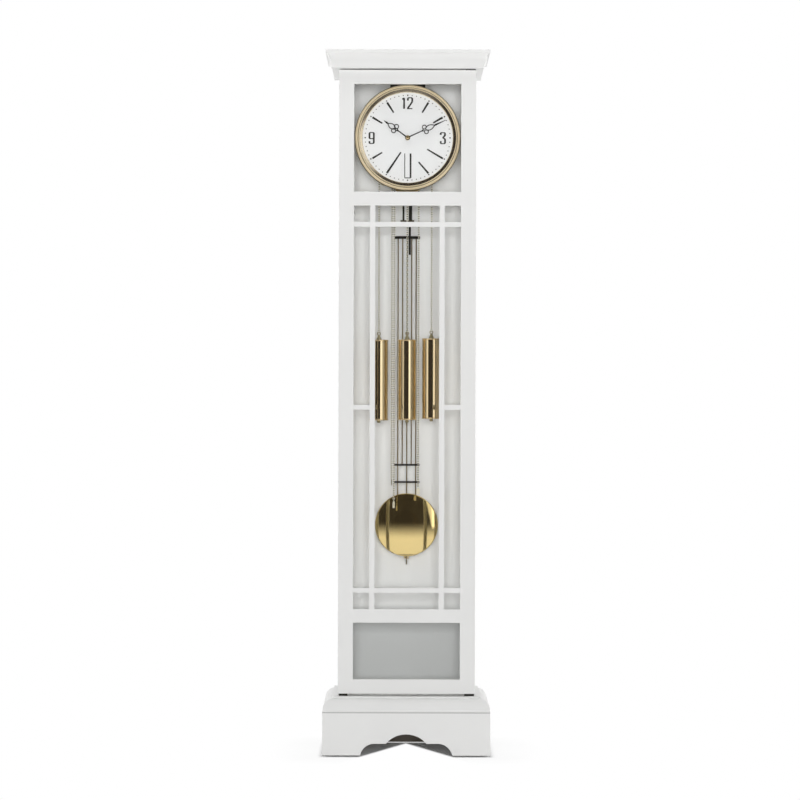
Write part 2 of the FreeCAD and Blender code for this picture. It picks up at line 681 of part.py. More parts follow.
def movement_plate(name, front, holes):
    """A plate that narrows to a foot on the seat board, drilled for the arbors."""
    outline = [(-plate_half, plate_high), (-plate_half, plate_shoulder),
               (-d.plate_foot_half, seat_top + d.plate_foot_rise), (-d.plate_foot_half, seat_top),
               (d.plate_foot_half, seat_top), (d.plate_foot_half, seat_top + d.plate_foot_rise),
               (plate_half, plate_shoulder), (plate_half, plate_high)]
    blank = prism(name + "_blank", "XZ_Plane", outline, front + d.plate_thickness, d.plate_thickness)
    return cut(name, blank, holes)


front_drilled = movement_plate("front_plate_drilled", front_plate,
                               arbor_holes("front", through_spots, front_plate))
stud = rod("motion_stud", d.arbor_radius, (motion_x, front_plate - d.stud_length, dial_z), d.stud_length, "y")
piece("movement_front_plate", fuse("movement_front_plate", [front_drilled, stud]))
piece("movement_back_plate", movement_plate("movement_back_plate", rear_plate, arbor_holes(
    "rear", through_spots + [(zero, anchor_z)], rear_plate)))

pillars = []
for column, pillar_x in enumerate((d.pillar_edge - plate_half, plate_half - d.pillar_edge)):
    for row, pillar_z in enumerate((plate_shoulder + d.pillar_edge, plate_high - d.pillar_edge)):
        pillars.append(rod("pillar_%d_%d" % (column, row), d.pillar_radius,
                           (pillar_x, front_plate_back, pillar_z), d.plate_gap, "y"))
foot_rise = plate_high - d.dial_foot_edge - dial_z
for column, across in enumerate((-1, 1)):
    for row, up in enumerate((-1, 1)):
        pillars.append(rod("dial_foot_%d_%d" % (column, row), d.dial_foot_radius,
                           (across * d.dial_foot_place, dial_back, dial_z + up * foot_rise),
                           front_plate - dial_back, "y"))
piece("movement_pillars", group("movement_pillars", pillars))

# Dial and hands

piece("dial_plate", turned("dial_plate", [
    (d.dial_hole_radius, zero), (dial_radius, zero), (dial_radius, d.dial_thickness),
    (d.dial_hole_radius, d.dial_thickness)], (zero, dial_back, dial_z), "front"))

BEZEL_SHARES = ((1, 0), (1, 0.55), (0.88, 0.86), (0.66, 0.72), (0.44, 1), (0.2, 0.8), (0, 0.3), (0, 0))
piece("dial_bezel", turned("dial_bezel", [
    (bezel_inner + across * d.bezel_width, up * d.bezel_height) for across, up in BEZEL_SHARES
], (zero, dial_front, dial_z), "front"))
piece("dial_strap", box("dial_strap", (-d.strap_width / 2, dial_back, dial_z + d.strap_bottom),
                        (d.strap_width / 2, dial_back + d.strap_thickness, dial_z + d.strap_top)))

HAND_STEM_SHARE = 0.3
minute_angle = 6 * d.shown_minutes
hour_angle = 30 * d.shown_hour + d.shown_minutes / 2


def hand(name, length, hub, loop, bore, angle, back):
    """A pierced hand: hub, stem, two loops and a pointed blade, turned to its place on the dial."""
    thick = d.hand_thickness
    stem_end = HAND_STEM_SHARE * length
    second = stem_end + loop * 3 - d.loop_wall
    blade_start = second + loop - d.loop_wall
    solids = [rod(name + "_hub", hub, (zero, -thick, zero), thick, "y"),
              box(name + "_stem", (-d.hand_stem / 2, -thick, zero), (d.hand_stem / 2, zero, stem_end))]
    holes = [rod(name + "_bore", bore, (zero, -thick - d.overrun, zero), thick + 2 * d.overrun, "y")]
    for index, middle in enumerate((stem_end + loop - d.loop_wall, second)):
        solids.append(rod("%s_loop_%d" % (name, index), loop, (zero, -thick, middle), thick, "y"))
        holes.append(rod("%s_eye_%d" % (name, index), loop - d.loop_wall,
                         (zero, -thick - d.overrun, middle), thick + 2 * d.overrun, "y"))
    solids.append(prism(name + "_blade", "XZ_Plane", [
        (-d.hand_stem / 2, blade_start),
        (-d.hand_tip_width / 2, blade_start + HAND_STEM_SHARE * (length - blade_start)),
        (zero, length),
        (d.hand_tip_width / 2, blade_start + HAND_STEM_SHARE * (length - blade_start)),
        (d.hand_stem / 2, blade_start)], zero, thick))
    return piece(name, place(cut(name, fuse(name + "_blank", solids), holes), (zero, back, dial_z),
                             ((0, 1, 0), angle)))


hour_hand_back = dial_front - d.hour_hand_place
minute_hand_back = dial_front - d.minute_hand_place
hand("hour_hand", hour_hand_length, d.hour_hub_radius, d.hour_loop_radius,
     d.hour_pipe_radius + d.running_play, hour_angle, hour_hand_back)
hand("minute_hand", minute_hand_length, d.minute_hub_radius, d.minute_loop_radius,
     d.hand_seat_radius + d.running_play, minute_angle, minute_hand_back)
nut_back = minute_hand_back - d.hand_thickness
piece("hand_nut", turned("hand_nut", [
    (d.hand_seat_radius + d.running_play, zero), (d.hand_nut_radius, zero),
    (d.hand_nut_radius, d.hand_nut_height / 2), (d.hand_seat_radius + d.running_play, d.hand_nut_height),
], (zero, nut_back, dial_z), "front"))

# Wheels

cannon_back = front_plate - d.cannon_place
cannon_front = cannon_back - d.cannon_length
arbor_front = nut_back - d.hand_nut_height


def along(y):
    """Height on a turned arbor that starts at the back of the rear plate."""
    return rear_plate_back - y


centre_turning = rod("centre_turning", d.arbor_radius, (zero, minute_hand_back, dial_z),
                     rear_plate_back - minute_hand_back, "y")
centre_wheel = toothed("centre_wheel", WHEEL_TEETH["centre_teeth"], d.centre_wheel_radius, d.tooth_depth,
                       d.wheel_thickness, (zero, front_plate + d.centre_wheel_place, dial_z))
piece("centre_arbor", fuse("centre_arbor", [centre_turning, centre_wheel]))

cannon_bore = d.arbor_radius + d.running_play
cannon_pipe = turned("cannon_pipe", [
    (cannon_bore, zero), (d.cannon_pipe_radius, zero),
    (d.cannon_pipe_radius, cannon_back - minute_hand_back),
    (d.hand_seat_radius, cannon_back - minute_hand_back),
    (d.hand_seat_radius, cannon_back - arbor_front), (cannon_bore, cannon_back - arbor_front),
], (zero, cannon_back, dial_z), "front")
cannon_gear = toothed("cannon_gear", WHEEL_TEETH["cannon_teeth"], d.cannon_radius, d.pinion_depth,
                      d.cannon_length, (zero, cannon_front, dial_z))
piece("cannon_pinion", cut("cannon_pinion", fuse("cannon_blank", [cannon_pipe, cannon_gear]), [
    rod("cannon_hole", cannon_bore, (zero, cannon_front - d.overrun, dial_z),
        d.cannon_length + 2 * d.overrun, "y")]))

motion_plane = front_plate - d.motion_wheel_place
motion_wheel = toothed("motion_wheel", WHEEL_TEETH["motion_teeth"], d.motion_wheel_radius, d.tooth_depth,
                       d.wheel_thickness, (motion_x, motion_plane, dial_z))
motion_pinion = toothed("motion_pinion", WHEEL_TEETH["motion_pinion_teeth"], d.motion_pinion_radius,
                        d.pinion_depth, d.motion_pinion_length,
                        (motion_x, motion_plane - d.motion_pinion_length, dial_z))
stud_hole = rod("stud_hole", d.arbor_radius + d.running_play,
                (motion_x, front_plate - d.stud_length - d.overrun, dial_z), d.stud_length + d.overrun, "y")
piece("minute_wheel", cut("minute_wheel", fuse("minute_wheel_blank", [motion_wheel, motion_pinion]),
                          [stud_hole]))

hour_plane = front_plate - d.hour_wheel_place
hour_front = hour_hand_back - d.hand_thickness
hour_gear = toothed("hour_gear", WHEEL_TEETH["hour_teeth"], hour_wheel_radius, d.tooth_depth,
                    d.wheel_thickness, (zero, hour_plane, dial_z))
hour_pipe = rod("hour_pipe", d.hour_pipe_radius, (zero, hour_front, dial_z), hour_plane - hour_front, "y")
hour_bore = rod("hour_bore", d.cannon_pipe_radius + d.running_play,
                (zero, hour_front - d.overrun, dial_z),
                hour_plane + d.wheel_thickness - hour_front + 2 * d.overrun, "y")
piece("hour_wheel", cut("hour_wheel", fuse("hour_wheel_blank", [hour_gear, hour_pipe]), [hour_bore]))

third_plane = front_plate + d.third_wheel_place
centre_plane = front_plate + d.centre_wheel_place
pinion_lead = (d.pinion_length - d.wheel_thickness) / 2
piece("third_wheel", fuse("third_wheel", [
    rod("third_arbor", d.arbor_radius, (third_x, front_plate, third_z), frame_depth, "y"),
    toothed("third_pinion", WHEEL_TEETH["pinion_teeth"], d.pinion_radius, d.pinion_depth, d.pinion_length,
            (third_x, centre_plane - pinion_lead, third_z)),
    toothed("third_gear", WHEEL_TEETH["third_teeth"], d.third_wheel_radius, d.tooth_depth, d.wheel_thickness,
            (third_x, third_plane, third_z)),
]))
escape_plane = front_plate + d.escape_wheel_place
piece("escape_wheel", fuse("escape_wheel", [
    rod("escape_arbor", d.arbor_radius, (zero, front_plate, escape_z),
        d.escape_wheel_place + d.wheel_thickness, "y"),
    toothed("escape_pinion", WHEEL_TEETH["pinion_teeth"], d.pinion_radius, d.pinion_depth, d.pinion_length,
            (zero, third_plane - pinion_lead, escape_z)),
    toothed("escape_gear", WHEEL_TEETH["escape_teeth"], d.escape_radius, d.tooth_depth, d.wheel_thickness,
            (zero, escape_plane, escape_z)),
]))

ANCHOR_SHARES = ((-1, -1.25), (-1, -0.3), (-0.35, 0.2), (0.35, 0.2), (1, -0.3), (1, -1.25), (0.84, -1.25),
                 (0.84, -0.42), (0.3, -0.12), (-0.3, -0.12), (-0.84, -0.42), (-0.84, -1.25))
crutch_y = front_plate + d.crutch_place
bridge_y = front_plate + d.bridge_place
bridge_back = bridge_y + d.plate_thickness
anchor_arms = prism("anchor_arms", "XZ_Plane", [
    (across * d.anchor_reach, up * d.anchor_reach) for across, up in ANCHOR_SHARES
], front_plate + d.anchor_place + d.anchor_thickness, d.anchor_thickness)
bind(anchor_arms, "Placement.Base.z", anchor_z)
leader_left = d.leader_side - d.leader_width / 2
leader_right = d.leader_side + d.leader_width / 2
fork_low = anchor_z - d.crutch_length
anchor_solids = [
    anchor_arms,
    rod("anchor_arbor", d.arbor_radius, (zero, rear_plate, anchor_z), bridge_back - rear_plate, "y"),
    rod("anchor_hub", d.crutch_width, (zero, front_plate + d.anchor_place, anchor_z),
        d.crutch_place + d.crutch_thickness - d.anchor_place, "y"),
    box("crutch_arm", (-d.crutch_width / 2, crutch_y, fork_low),
        (d.crutch_width / 2, crutch_y + d.crutch_thickness, anchor_z)),
    box("crutch_bar", (-d.crutch_width / 2, crutch_y, fork_low),
        (leader_right + d.crutch_play + d.crutch_width, crutch_y + d.crutch_thickness,
         fork_low + d.crutch_foot)),
    box("crutch_prong_left", (leader_left - d.crutch_play - d.crutch_width, crutch_y, fork_low),
        (leader_left - d.crutch_play, pendulum_y, fork_low + d.crutch_foot)),
    box("crutch_prong_right", (leader_right + d.crutch_play, crutch_y, fork_low),
        (leader_right + d.crutch_play + d.crutch_width, pendulum_y, fork_low + d.crutch_foot)),
]
piece("anchor", fuse("anchor", anchor_solids))

post_half = d.suspension_post / 2
leg_x = d.bridge_half - d.bridge_leg_edge
bridge_solids = [
    box("bridge_plate", (-d.bridge_half, bridge_y, anchor_z - d.bridge_height / 2),
        (d.bridge_half, bridge_back, anchor_z + d.bridge_height / 2)),
    box("suspension_post", (-post_half, bridge_back, anchor_z + d.suspension_play),
        (post_half, pendulum_y, anchor_z + d.bridge_height / 2)),
]
for sign in (-1, 1):
    bridge_solids.append(rod("bridge_leg_%d" % (sign + 1), d.bridge_leg_radius,
                             (sign * leg_x, rear_plate_back, anchor_z), bridge_y - rear_plate_back, "y"))
piece("anchor_bridge", cut("anchor_bridge", fuse("bridge_blank", bridge_solids), [
    rod("bridge_hole", d.arbor_radius + d.running_play, (zero, bridge_y - d.overrun, anchor_z),
        d.plate_thickness + 2 * d.overrun, "y")]))

# Pendulum

leader_front = pendulum_y - d.leader_thickness
block_top = anchor_z - d.spring_length
piece("pendulum_leader", fuse("pendulum_leader", [
    box("suspension_spring", (-d.spring_width / 2, pendulum_y - (d.leader_thickness + d.spring_thickness) / 2,
                              block_top),
        (d.spring_width / 2, pendulum_y - (d.leader_thickness - d.spring_thickness) / 2, anchor_z)),
    box("leader_block", (-d.leader_block / 2, leader_front, block_top - d.leader_block),
        (leader_right, pendulum_y, block_top)),
    box("leader_strip", (leader_left, leader_front, anchor_z - d.leader_length),
        (leader_right, pendulum_y, block_top)),
]))

top_yoke = anchor_z - d.top_bar_drop
second_yoke = bob_z + d.bob_radius + d.second_bar_rise
first_yoke = second_yoke + d.bar_gap
bob_yoke = bob_z + d.bob_bar_rise
rod_high = top_yoke + d.top_yoke_height / 2
rod_ends = {-2: bob_yoke - d.yoke_height / 2, -1: first_yoke - d.yoke_height / 2, 0: bob_low - d.tip_length,
            1: first_yoke - d.yoke_height / 2, 2: bob_yoke - d.yoke_height / 2}
rods = []
rod_holes = []
for place_number, rod_end in rod_ends.items():
    mark = "_%d" % (place_number + 2)
    start = (place_number * d.rod_spacing, yoke_y, rod_end)
    rods.append(rod("pendulum_rod" + mark, d.rod_radius, start, rod_high - rod_end))
    rod_holes.append(rod("rod_hole" + mark, d.rod_radius + d.rod_play, start, rod_high - rod_end))
piece("pendulum_rods", group("pendulum_rods", rods))
yokes = []
for mark, level, height in (("top", top_yoke, d.top_yoke_height), ("first", first_yoke, d.yoke_height),
                            ("second", second_yoke, d.yoke_height), ("bob", bob_yoke, d.yoke_height)):
    yokes.append(box("yoke_" + mark, (-d.yoke_length / 2, pendulum_y, level - height / 2),
                     (d.yoke_length / 2, pendulum_y + d.yoke_depth, level + height / 2)))
piece("pendulum_crossbars", cut("pendulum_crossbars", group("yoke_blanks", yokes), rod_holes))

bob_back = pendulum_y - d.bob_play
bob_front = bob_back - d.bob_depth
bob_crown = d.bob_depth - d.bob_rim
bob_sphere_radius = (d.bob_radius * d.bob_radius + bob_crown * bob_crown) / (2 * bob_crown)
bob_sphere = doc.addObject("Part::Sphere", "bob_sphere")
bind(bob_sphere, "Radius", bob_sphere_radius)
place(bob_sphere, (zero, bob_front + bob_sphere_radius, bob_z))
bob_disc = rod("bob_disc", d.bob_radius, (zero, bob_front - d.overrun, bob_z),
               d.bob_depth + d.overrun, "y")
bob_lens = common("bob_lens", bob_disc, bob_sphere)
bob_sleeve = box("bob_sleeve", (-d.bob_sleeve_width / 2, bob_back, bob_low),
                 (d.bob_sleeve_width / 2, pendulum_y + d.yoke_depth, bob_low + d.bob_sleeve_length))
bob_hole = rod("bob_hole", d.rod_radius + d.rod_play, (zero, yoke_y, bob_low - d.overrun),
               d.bob_sleeve_length + 2 * d.overrun)
piece("pendulum_bob", cut("pendulum_bob", fuse("bob_blank", [bob_lens, bob_sleeve]), [bob_hole]))
piece("rating_nut", turned("rating_nut", [
    (d.rod_radius + d.rod_play, zero), (d.rating_nut_radius, zero),
    (d.rating_nut_radius, d.rating_nut_height), (d.rod_radius + d.rod_play, d.rating_nut_height),
], (zero, yoke_y, bob_low - d.rating_nut_height)))

# Weights, chains and chain wheels

TAG_SHOULDER_SHARE = 0.72
TAG_TURNS = {"left": 90, "centre": 60, "right": 0}
weight_lows = {"left": d.weight_bottom_left, "centre": d.weight_bottom_centre, "right": d.weight_bottom_right}
tag_lows = {"left": d.tag_bottom_left, "centre": d.tag_bottom_centre, "right": d.tag_bottom_right}
great_places = {"left": d.great_wheel_front_place, "centre": d.great_wheel_rear_place,
                "right": d.great_wheel_front_place}
tag_shoulder = TAG_SHOULDER_SHARE * d.tag_length
groove_half = d.chain_radius + d.chain_play
flange_half = groove_half + d.flange_width
groove_radius = d.chain_pitch_radius - groove_half
flange_radius = d.chain_pitch_radius + d.chain_radius
weight_cap = d.weight_nut_height + d.weight_length
shell = d.weight_radius - d.weight_rim_step
ring_rise = weight_cap + d.hook_rise - d.hook_ring_radius - d.hook_wire


def ring(name, radius, wire, at, angle):
    """A ring, or the upper part of one, standing in the XZ plane."""
    item = doc.addObject("Part::Torus", name)
    bind(item, "Radius1", radius)
    bind(item, "Radius2", wire)
    item.Angle3 = angle
    return place(item, at, ((1, 0, 0), 90))


for name, (wheel_x, side) in chain_wheels.items():
    weight_x = wheel_x + side * d.chain_pitch_radius
    free_x = wheel_x - side * d.chain_pitch_radius
    low = weight_lows[name]
    body = turned("weight_body_" + name, [
        (zero, zero), (d.weight_nut_radius, zero), (d.weight_nut_radius, d.weight_nut_height),
        (d.weight_radius, d.weight_nut_height), (d.weight_radius, d.weight_nut_height + d.weight_rim),
        (shell, d.weight_nut_height + d.weight_rim), (shell, weight_cap - d.weight_rim),
        (d.weight_radius, weight_cap - d.weight_rim), (d.weight_radius, weight_cap),
        (d.hook_wire, weight_cap), (d.hook_wire, ring_rise - d.hook_ring_radius),
        (zero, ring_rise - d.hook_ring_radius)], (weight_x, chain_y, low))
    hook = ring("weight_hook_" + name, d.hook_ring_radius, d.hook_wire,
                (weight_x, chain_y, low + ring_rise), 360)
    piece("weight_" + name, fuse("weight_" + name, [body, hook]))

    chain_low = low + weight_cap + d.hook_rise + d.chain_play
    tag_high = tag_lows[name] + d.tag_length + d.chain_play
    piece("chain_" + name, fuse("chain_" + name, [
        rod("weight_run_" + name, d.chain_radius, (weight_x, chain_y, chain_low), chain_wheel_z - chain_low),
        rod("free_run_" + name, d.chain_radius, (free_x, chain_y, tag_high), chain_wheel_z - tag_high),
        ring("chain_turn_" + name, d.chain_pitch_radius, d.chain_radius,
             (wheel_x, chain_y, chain_wheel_z), 180),
    ]))
    tag = prism("chain_tag_" + name, "XZ_Plane", [
        (-d.tag_width / 2, zero), (d.tag_width / 2, zero), (d.tag_width / 2, tag_shoulder),
        (d.chain_radius, d.tag_length), (-d.chain_radius, d.tag_length),
        (-d.tag_width / 2, tag_shoulder)], zero, d.tag_thickness)
    turn = TAG_TURNS[name]
    half_across = d.tag_thickness / 2 * math.sin(math.radians(turn))
    half_deep = d.tag_thickness / 2 * math.cos(math.radians(turn))
    piece("chain_tag_" + name, place(tag, (free_x - half_across, chain_y + half_deep, tag_lows[name]),
                                     ((0, 0, 1), turn)))

    chain_along = along(chain_y)
    wheel_turning = turned("chain_wheel_turning_" + name, [
        (zero, zero), (d.arbor_radius, zero), (d.arbor_radius, chain_along - flange_half),
        (flange_radius, chain_along - flange_half), (flange_radius, chain_along - groove_half),
        (groove_radius, chain_along - groove_half), (groove_radius, chain_along + groove_half),
        (flange_radius, chain_along + groove_half), (flange_radius, chain_along + flange_half),
        (d.arbor_radius, chain_along + flange_half), (d.arbor_radius, frame_depth), (zero, frame_depth),
    ], (wheel_x, rear_plate_back, chain_wheel_z), "front")
    great_gear = toothed("great_gear_" + name, WHEEL_TEETH["great_teeth"], d.great_wheel_radius,
                         d.tooth_depth, d.wheel_thickness,
                         (wheel_x, front_plate + great_places[name], chain_wheel_z))
    piece("chain_wheel_" + name, fuse("chain_wheel_" + name, [wheel_turning, great_gear]))

# Recompute, test every object and write one file for each sub-part

doc.recompute()
for item in doc.Objects:
    if "Invalid" in item.State or "Error" in item.State:
        raise RuntimeError("%s failed: %s" % (item.Label, item.State))
os.makedirs("parts", exist_ok=True)
for item in pieces:
    if item.Shape.isNull() or not item.Shape.isValid():
        raise RuntimeError(item.Label + " has no valid shape")
    item.Shape.exportStep("parts/%s.step" % item.Label)
print("%d sub-parts written" % len(pieces))
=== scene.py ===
import json
import math

import bpy
import numpy as np
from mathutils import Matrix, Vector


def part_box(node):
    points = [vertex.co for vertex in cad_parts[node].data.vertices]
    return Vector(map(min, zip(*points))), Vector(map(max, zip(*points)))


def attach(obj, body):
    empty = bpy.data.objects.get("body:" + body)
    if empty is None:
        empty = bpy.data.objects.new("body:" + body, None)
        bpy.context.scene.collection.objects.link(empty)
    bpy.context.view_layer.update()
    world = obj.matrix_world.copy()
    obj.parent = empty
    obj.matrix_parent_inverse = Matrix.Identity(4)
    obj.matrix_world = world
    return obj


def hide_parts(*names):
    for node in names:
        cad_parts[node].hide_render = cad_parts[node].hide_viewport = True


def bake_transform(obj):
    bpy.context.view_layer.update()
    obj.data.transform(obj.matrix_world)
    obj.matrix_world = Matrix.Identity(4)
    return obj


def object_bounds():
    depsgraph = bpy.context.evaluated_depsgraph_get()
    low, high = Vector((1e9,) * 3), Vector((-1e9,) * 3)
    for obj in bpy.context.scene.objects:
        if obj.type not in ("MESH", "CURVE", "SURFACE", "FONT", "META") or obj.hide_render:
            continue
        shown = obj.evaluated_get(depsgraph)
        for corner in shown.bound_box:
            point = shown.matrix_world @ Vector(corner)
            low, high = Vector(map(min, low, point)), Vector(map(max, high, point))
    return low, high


bl_info = {
    "name": "White longcase clock",
    "version": (1, 0, 0),
    "blender": (4, 5, 0),
    "location": "View3D > Sidebar > Clock",
    "description": "Dresses the frame of a white longcase clock and sets its stage",
    "category": "Add Mesh",
}

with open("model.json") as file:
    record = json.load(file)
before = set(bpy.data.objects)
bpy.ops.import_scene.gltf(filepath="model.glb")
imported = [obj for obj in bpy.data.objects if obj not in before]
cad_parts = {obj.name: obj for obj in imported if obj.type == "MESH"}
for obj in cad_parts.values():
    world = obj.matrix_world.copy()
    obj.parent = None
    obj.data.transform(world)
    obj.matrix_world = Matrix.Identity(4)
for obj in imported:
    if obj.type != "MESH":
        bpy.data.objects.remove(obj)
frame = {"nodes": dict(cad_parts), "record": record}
CAD_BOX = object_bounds()
NODES = frame["nodes"]
SIDES = ("left", "centre", "right")

# Places taken from the frame, in metres

DIAL_LOW, DIAL_HIGH = (np.array(corner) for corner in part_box("dial_plate"))
DIAL_MIDDLE = (DIAL_LOW + DIAL_HIGH) / 2
DIAL_FRONT = DIAL_LOW[1]


def middle_of(node):
    """The middle of a node's box and its half size."""
    low, high = (np.array(corner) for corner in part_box(node))
    return (low + high) / 2, (high - low) / 2


# Settings that a user would change


class ClockFinishes(bpy.types.PropertyGroup):
    """Colours of the clock's finishes."""

    paint: bpy.props.FloatVectorProperty(
        name="Paint", description="White paint of the case", subtype="COLOR", size=3,
        default=(0.77, 0.77, 0.76))
    # Painted light: the inner paint is a lighter copy of the case's white, standing in for light inside
    # the case
    inner_paint_with_painted_light: bpy.props.FloatVectorProperty(
        name="Inner paint", description="Paint of the back panel", subtype="COLOR", size=3,
        default=(0.92, 0.92, 0.91))
    # Painted shade: a grey that stands in for the shade on the back panel behind the low window
    shaded_low_panel: bpy.props.FloatVectorProperty(
        name="Low panel", description="Grey paint behind the low window", subtype="COLOR", size=3,
        default=(0.595, 0.605, 0.60))
    # Bare board and painted shade: its brown is made dark enough to stand for the shade inside the plinth
    raw_board_and_shade: bpy.props.FloatVectorProperty(
        name="Raw board", description="Unpainted inside of the plinth", subtype="COLOR", size=3,
        default=(0.10, 0.085, 0.065))
    brass: bpy.props.FloatVectorProperty(
        name="Brass", description="Polished brass of the bob and the movement", subtype="COLOR", size=3,
        default=(0.80, 0.62, 0.28))
    tube: bpy.props.FloatVectorProperty(
        name="Tube brass", description="Pale lacquered brass of the weights", subtype="COLOR", size=3,
        default=(0.84, 0.67, 0.41))
    gilt: bpy.props.FloatVectorProperty(
        name="Gilt", description="Pale gilt of the bezel", subtype="COLOR", size=3,
        default=(0.80, 0.69, 0.52))
    chain: bpy.props.FloatVectorProperty(
        name="Chain", description="Brassed steel of the chains and two end tags", subtype="COLOR", size=3,
        default=(0.98, 0.91, 0.74))
    hook: bpy.props.FloatVectorProperty(
        name="Hooks", description="Dull brass of the weights' hooks and one end tag", subtype="COLOR",
        size=3, default=(0.46, 0.40, 0.25))
    rod: bpy.props.FloatVectorProperty(
        name="Rods", description="Bronze of the pendulum rods", subtype="COLOR", size=3,
        default=(0.35, 0.275, 0.175))
    steel: bpy.props.FloatVectorProperty(
        name="Steel", description="Turned steel of the movement", subtype="COLOR", size=3,
        default=(0.55, 0.55, 0.54))
    black: bpy.props.FloatVectorProperty(
        name="Black", description="Blackened steel and the dial's print", subtype="COLOR", size=3,
        default=(0.018, 0.016, 0.013))
    dial: bpy.props.FloatVectorProperty(
        name="Dial", description="Matt white of the dial", subtype="COLOR", size=3,
        default=(0.82, 0.82, 0.82))


class ClockSizes(bpy.types.PropertyGroup):
    """Sizes of the pieces that stand on the frame."""

    link_pitch: bpy.props.FloatProperty(
        name="Link pitch", description="Length that one chain link adds", subtype="DISTANCE",
        default=0.0061)
    link_width: bpy.props.FloatProperty(
        name="Link width", description="Width of a link between its wire's middles", subtype="DISTANCE",
        default=0.0036)
    link_wire: bpy.props.FloatProperty(
        name="Link wire", description="Radius of the wire of a link", subtype="DISTANCE", default=0.00085)
    print_height: bpy.props.FloatProperty(
        name="Print height", description="Height of the dial's print above the dial", subtype="DISTANCE",
        default=0.0001)
    numeral_height: bpy.props.FloatProperty(
        name="Numeral height", description="Height of the dial's numerals", subtype="DISTANCE",
        default=0.0300)
    minute_ring: bpy.props.FloatProperty(
        name="Minute ring", description="Radius of the ring of minute dots", subtype="DISTANCE",
        default=0.1136)
    bezel_width: bpy.props.FloatProperty(
        name="Bezel width", description="Width of the bezel's ring", subtype="DISTANCE", default=0.0216)
    bob_depth: bpy.props.FloatProperty(
        name="Bob depth", description="Depth of the bob at its middle", subtype="DISTANCE", default=0.015)
    bob_rim: bpy.props.FloatProperty(
        name="Bob rim", description="Depth of the bob at its rim", subtype="DISTANCE", default=0.0051)


class ClockStage(bpy.types.PropertyGroup):
    """Camera and light."""

    distance: bpy.props.FloatProperty(
        name="Camera distance", description="From the door's face to the camera", subtype="DISTANCE",
        default=6.56)
    camera_x: bpy.props.FloatProperty(
        name="Camera across", description="Camera's place across the clock", subtype="DISTANCE",
        default=-0.0186)
    camera_z: bpy.props.FloatProperty(
        name="Camera height", description="Camera's height above the floor", subtype="DISTANCE",
        default=0.9452)
    lens: bpy.props.FloatProperty(name="Lens", description="Focal length in millimetres", default=110.85)
    roll: bpy.props.FloatProperty(
        name="Roll", description="Turn of the camera about its view", subtype="ANGLE",
        default=math.radians(-0.15))
    ambient: bpy.props.FloatProperty(name="Ambient", description="Light from all round", default=0.15)
    key: bpy.props.FloatProperty(
        name="Key", description="Power of the lamp behind the camera", subtype="POWER", default=85.5)
    wash: bpy.props.FloatProperty(
        name="Wash", description="Power of a side lamp, of which the back and top lamps take a share",
        subtype="POWER", default=90.0)
    softbox: bpy.props.FloatProperty(
        name="Softbox", description="Power of the broad lamp that the brass mirrors", subtype="POWER",
        default=8.0)


# Arrays of points and faces; points that are equal at this many steps to the metre are merged

MERGE_STEPS = 1e7


def grid(points, wrap_rows=False, wrap_columns=False):
    """Points [rows, columns, 3] as vertices and the quads between neighbouring rows and columns."""
    rows, columns = points.shape[:2]
    index = np.arange(rows * columns).reshape(rows, columns)
    if wrap_rows:
        index = np.vstack([index, index[:1]])
    if wrap_columns:
        index = np.hstack([index, index[:, :1]])
    quads = np.stack([index[:-1, :-1], index[1:, :-1], index[1:, 1:], index[:-1, 1:]], axis=-1)
    return points.reshape(-1, 3), quads.reshape(-1, 4)


def joined(parts):
    """Several (vertices, quads) pairs as one pair, each with its faces turned outwards."""
    vertices = []
    faces = []
    count = 0
    for points, quads in parts:
        corners = points[quads]
        middle = points.mean(axis=0)
        first = np.cross(corners[:, 1] - corners[:, 0], corners[:, 2] - corners[:, 0])
        second = np.cross(corners[:, 2] - corners[:, 0], corners[:, 3] - corners[:, 0])
        volume = np.sum((first + second) * (corners.mean(axis=1) - middle))
        faces.append((quads if volume >= 0 else quads[:, ::-1]) + count)
        vertices.append(points)
        count += len(points)
    return np.concatenate(vertices), np.concatenate(faces)


def piece(name, parts, finish, sharp=35, wear_and_contact_shade=None):
    """A named object from (vertices, quads) pairs, with equal points merged.

    A quad that loses a corner by that becomes a triangle. The wear and contact shade, one number for each
    vertex, is kept as the mesh's own attribute; the chains paint tarnish and shade by it.
    """
    vertices, quads = joined(parts)
    keys = np.round(vertices * MERGE_STEPS).astype(np.int64)
    first, index = np.unique(keys, axis=0, return_index=True, return_inverse=True)[1:]
    quads = index.reshape(-1)[quads]
    same = quads == np.roll(quads, -1, axis=1)
    whole = quads[same.sum(axis=1) == 0]
    bent = quads[same.sum(axis=1) == 1]
    keep = ~same[same.sum(axis=1) == 1]
    triangles = bent[keep].reshape(-1, 3)
    mesh = bpy.data.meshes.new(name)
    mesh.from_pydata(vertices[first].tolist(), [], whole.tolist() + triangles.tolist())
    mesh.polygons.foreach_set("use_smooth", np.ones(len(mesh.polygons), dtype=bool))
    mesh.set_sharp_from_angle(angle=math.radians(sharp))
    mesh.materials.append(finish)
    if wear_and_contact_shade is not None:
        layer = mesh.attributes.new("wear_and_contact_shade", "FLOAT", "POINT")
        layer.data.foreach_set("value", wear_and_contact_shade[first].astype(np.float32))
    mesh.validate()
    mesh.update()
    item = bpy.data.objects.new(name, mesh)
    bpy.context.scene.collection.objects.link(item)
    return item


def turned(profile, centre, axis, steps=96, ring=False):
    """A profile of (radius, height) points turned once about +Z or about -Y through the centre.

    Point = centre + radius * (cos a, sin a) across the axis + height along the axis.
    """
    profile = np.asarray(profile, float)
    angle = np.linspace(0, 2 * math.pi, steps, endpoint=False)[:, None]
    across = profile[None, :, 0] * np.cos(angle)
    side = profile[None, :, 0] * np.sin(angle)
    along = np.broadcast_to(profile[None, :, 1], across.shape)
    if axis == "z":
        points = np.stack([across, side, along], axis=-1)
    else:
        points = np.stack([across, -along, side], axis=-1)
    return grid(points + np.asarray(centre), wrap_rows=True, wrap_columns=ring)


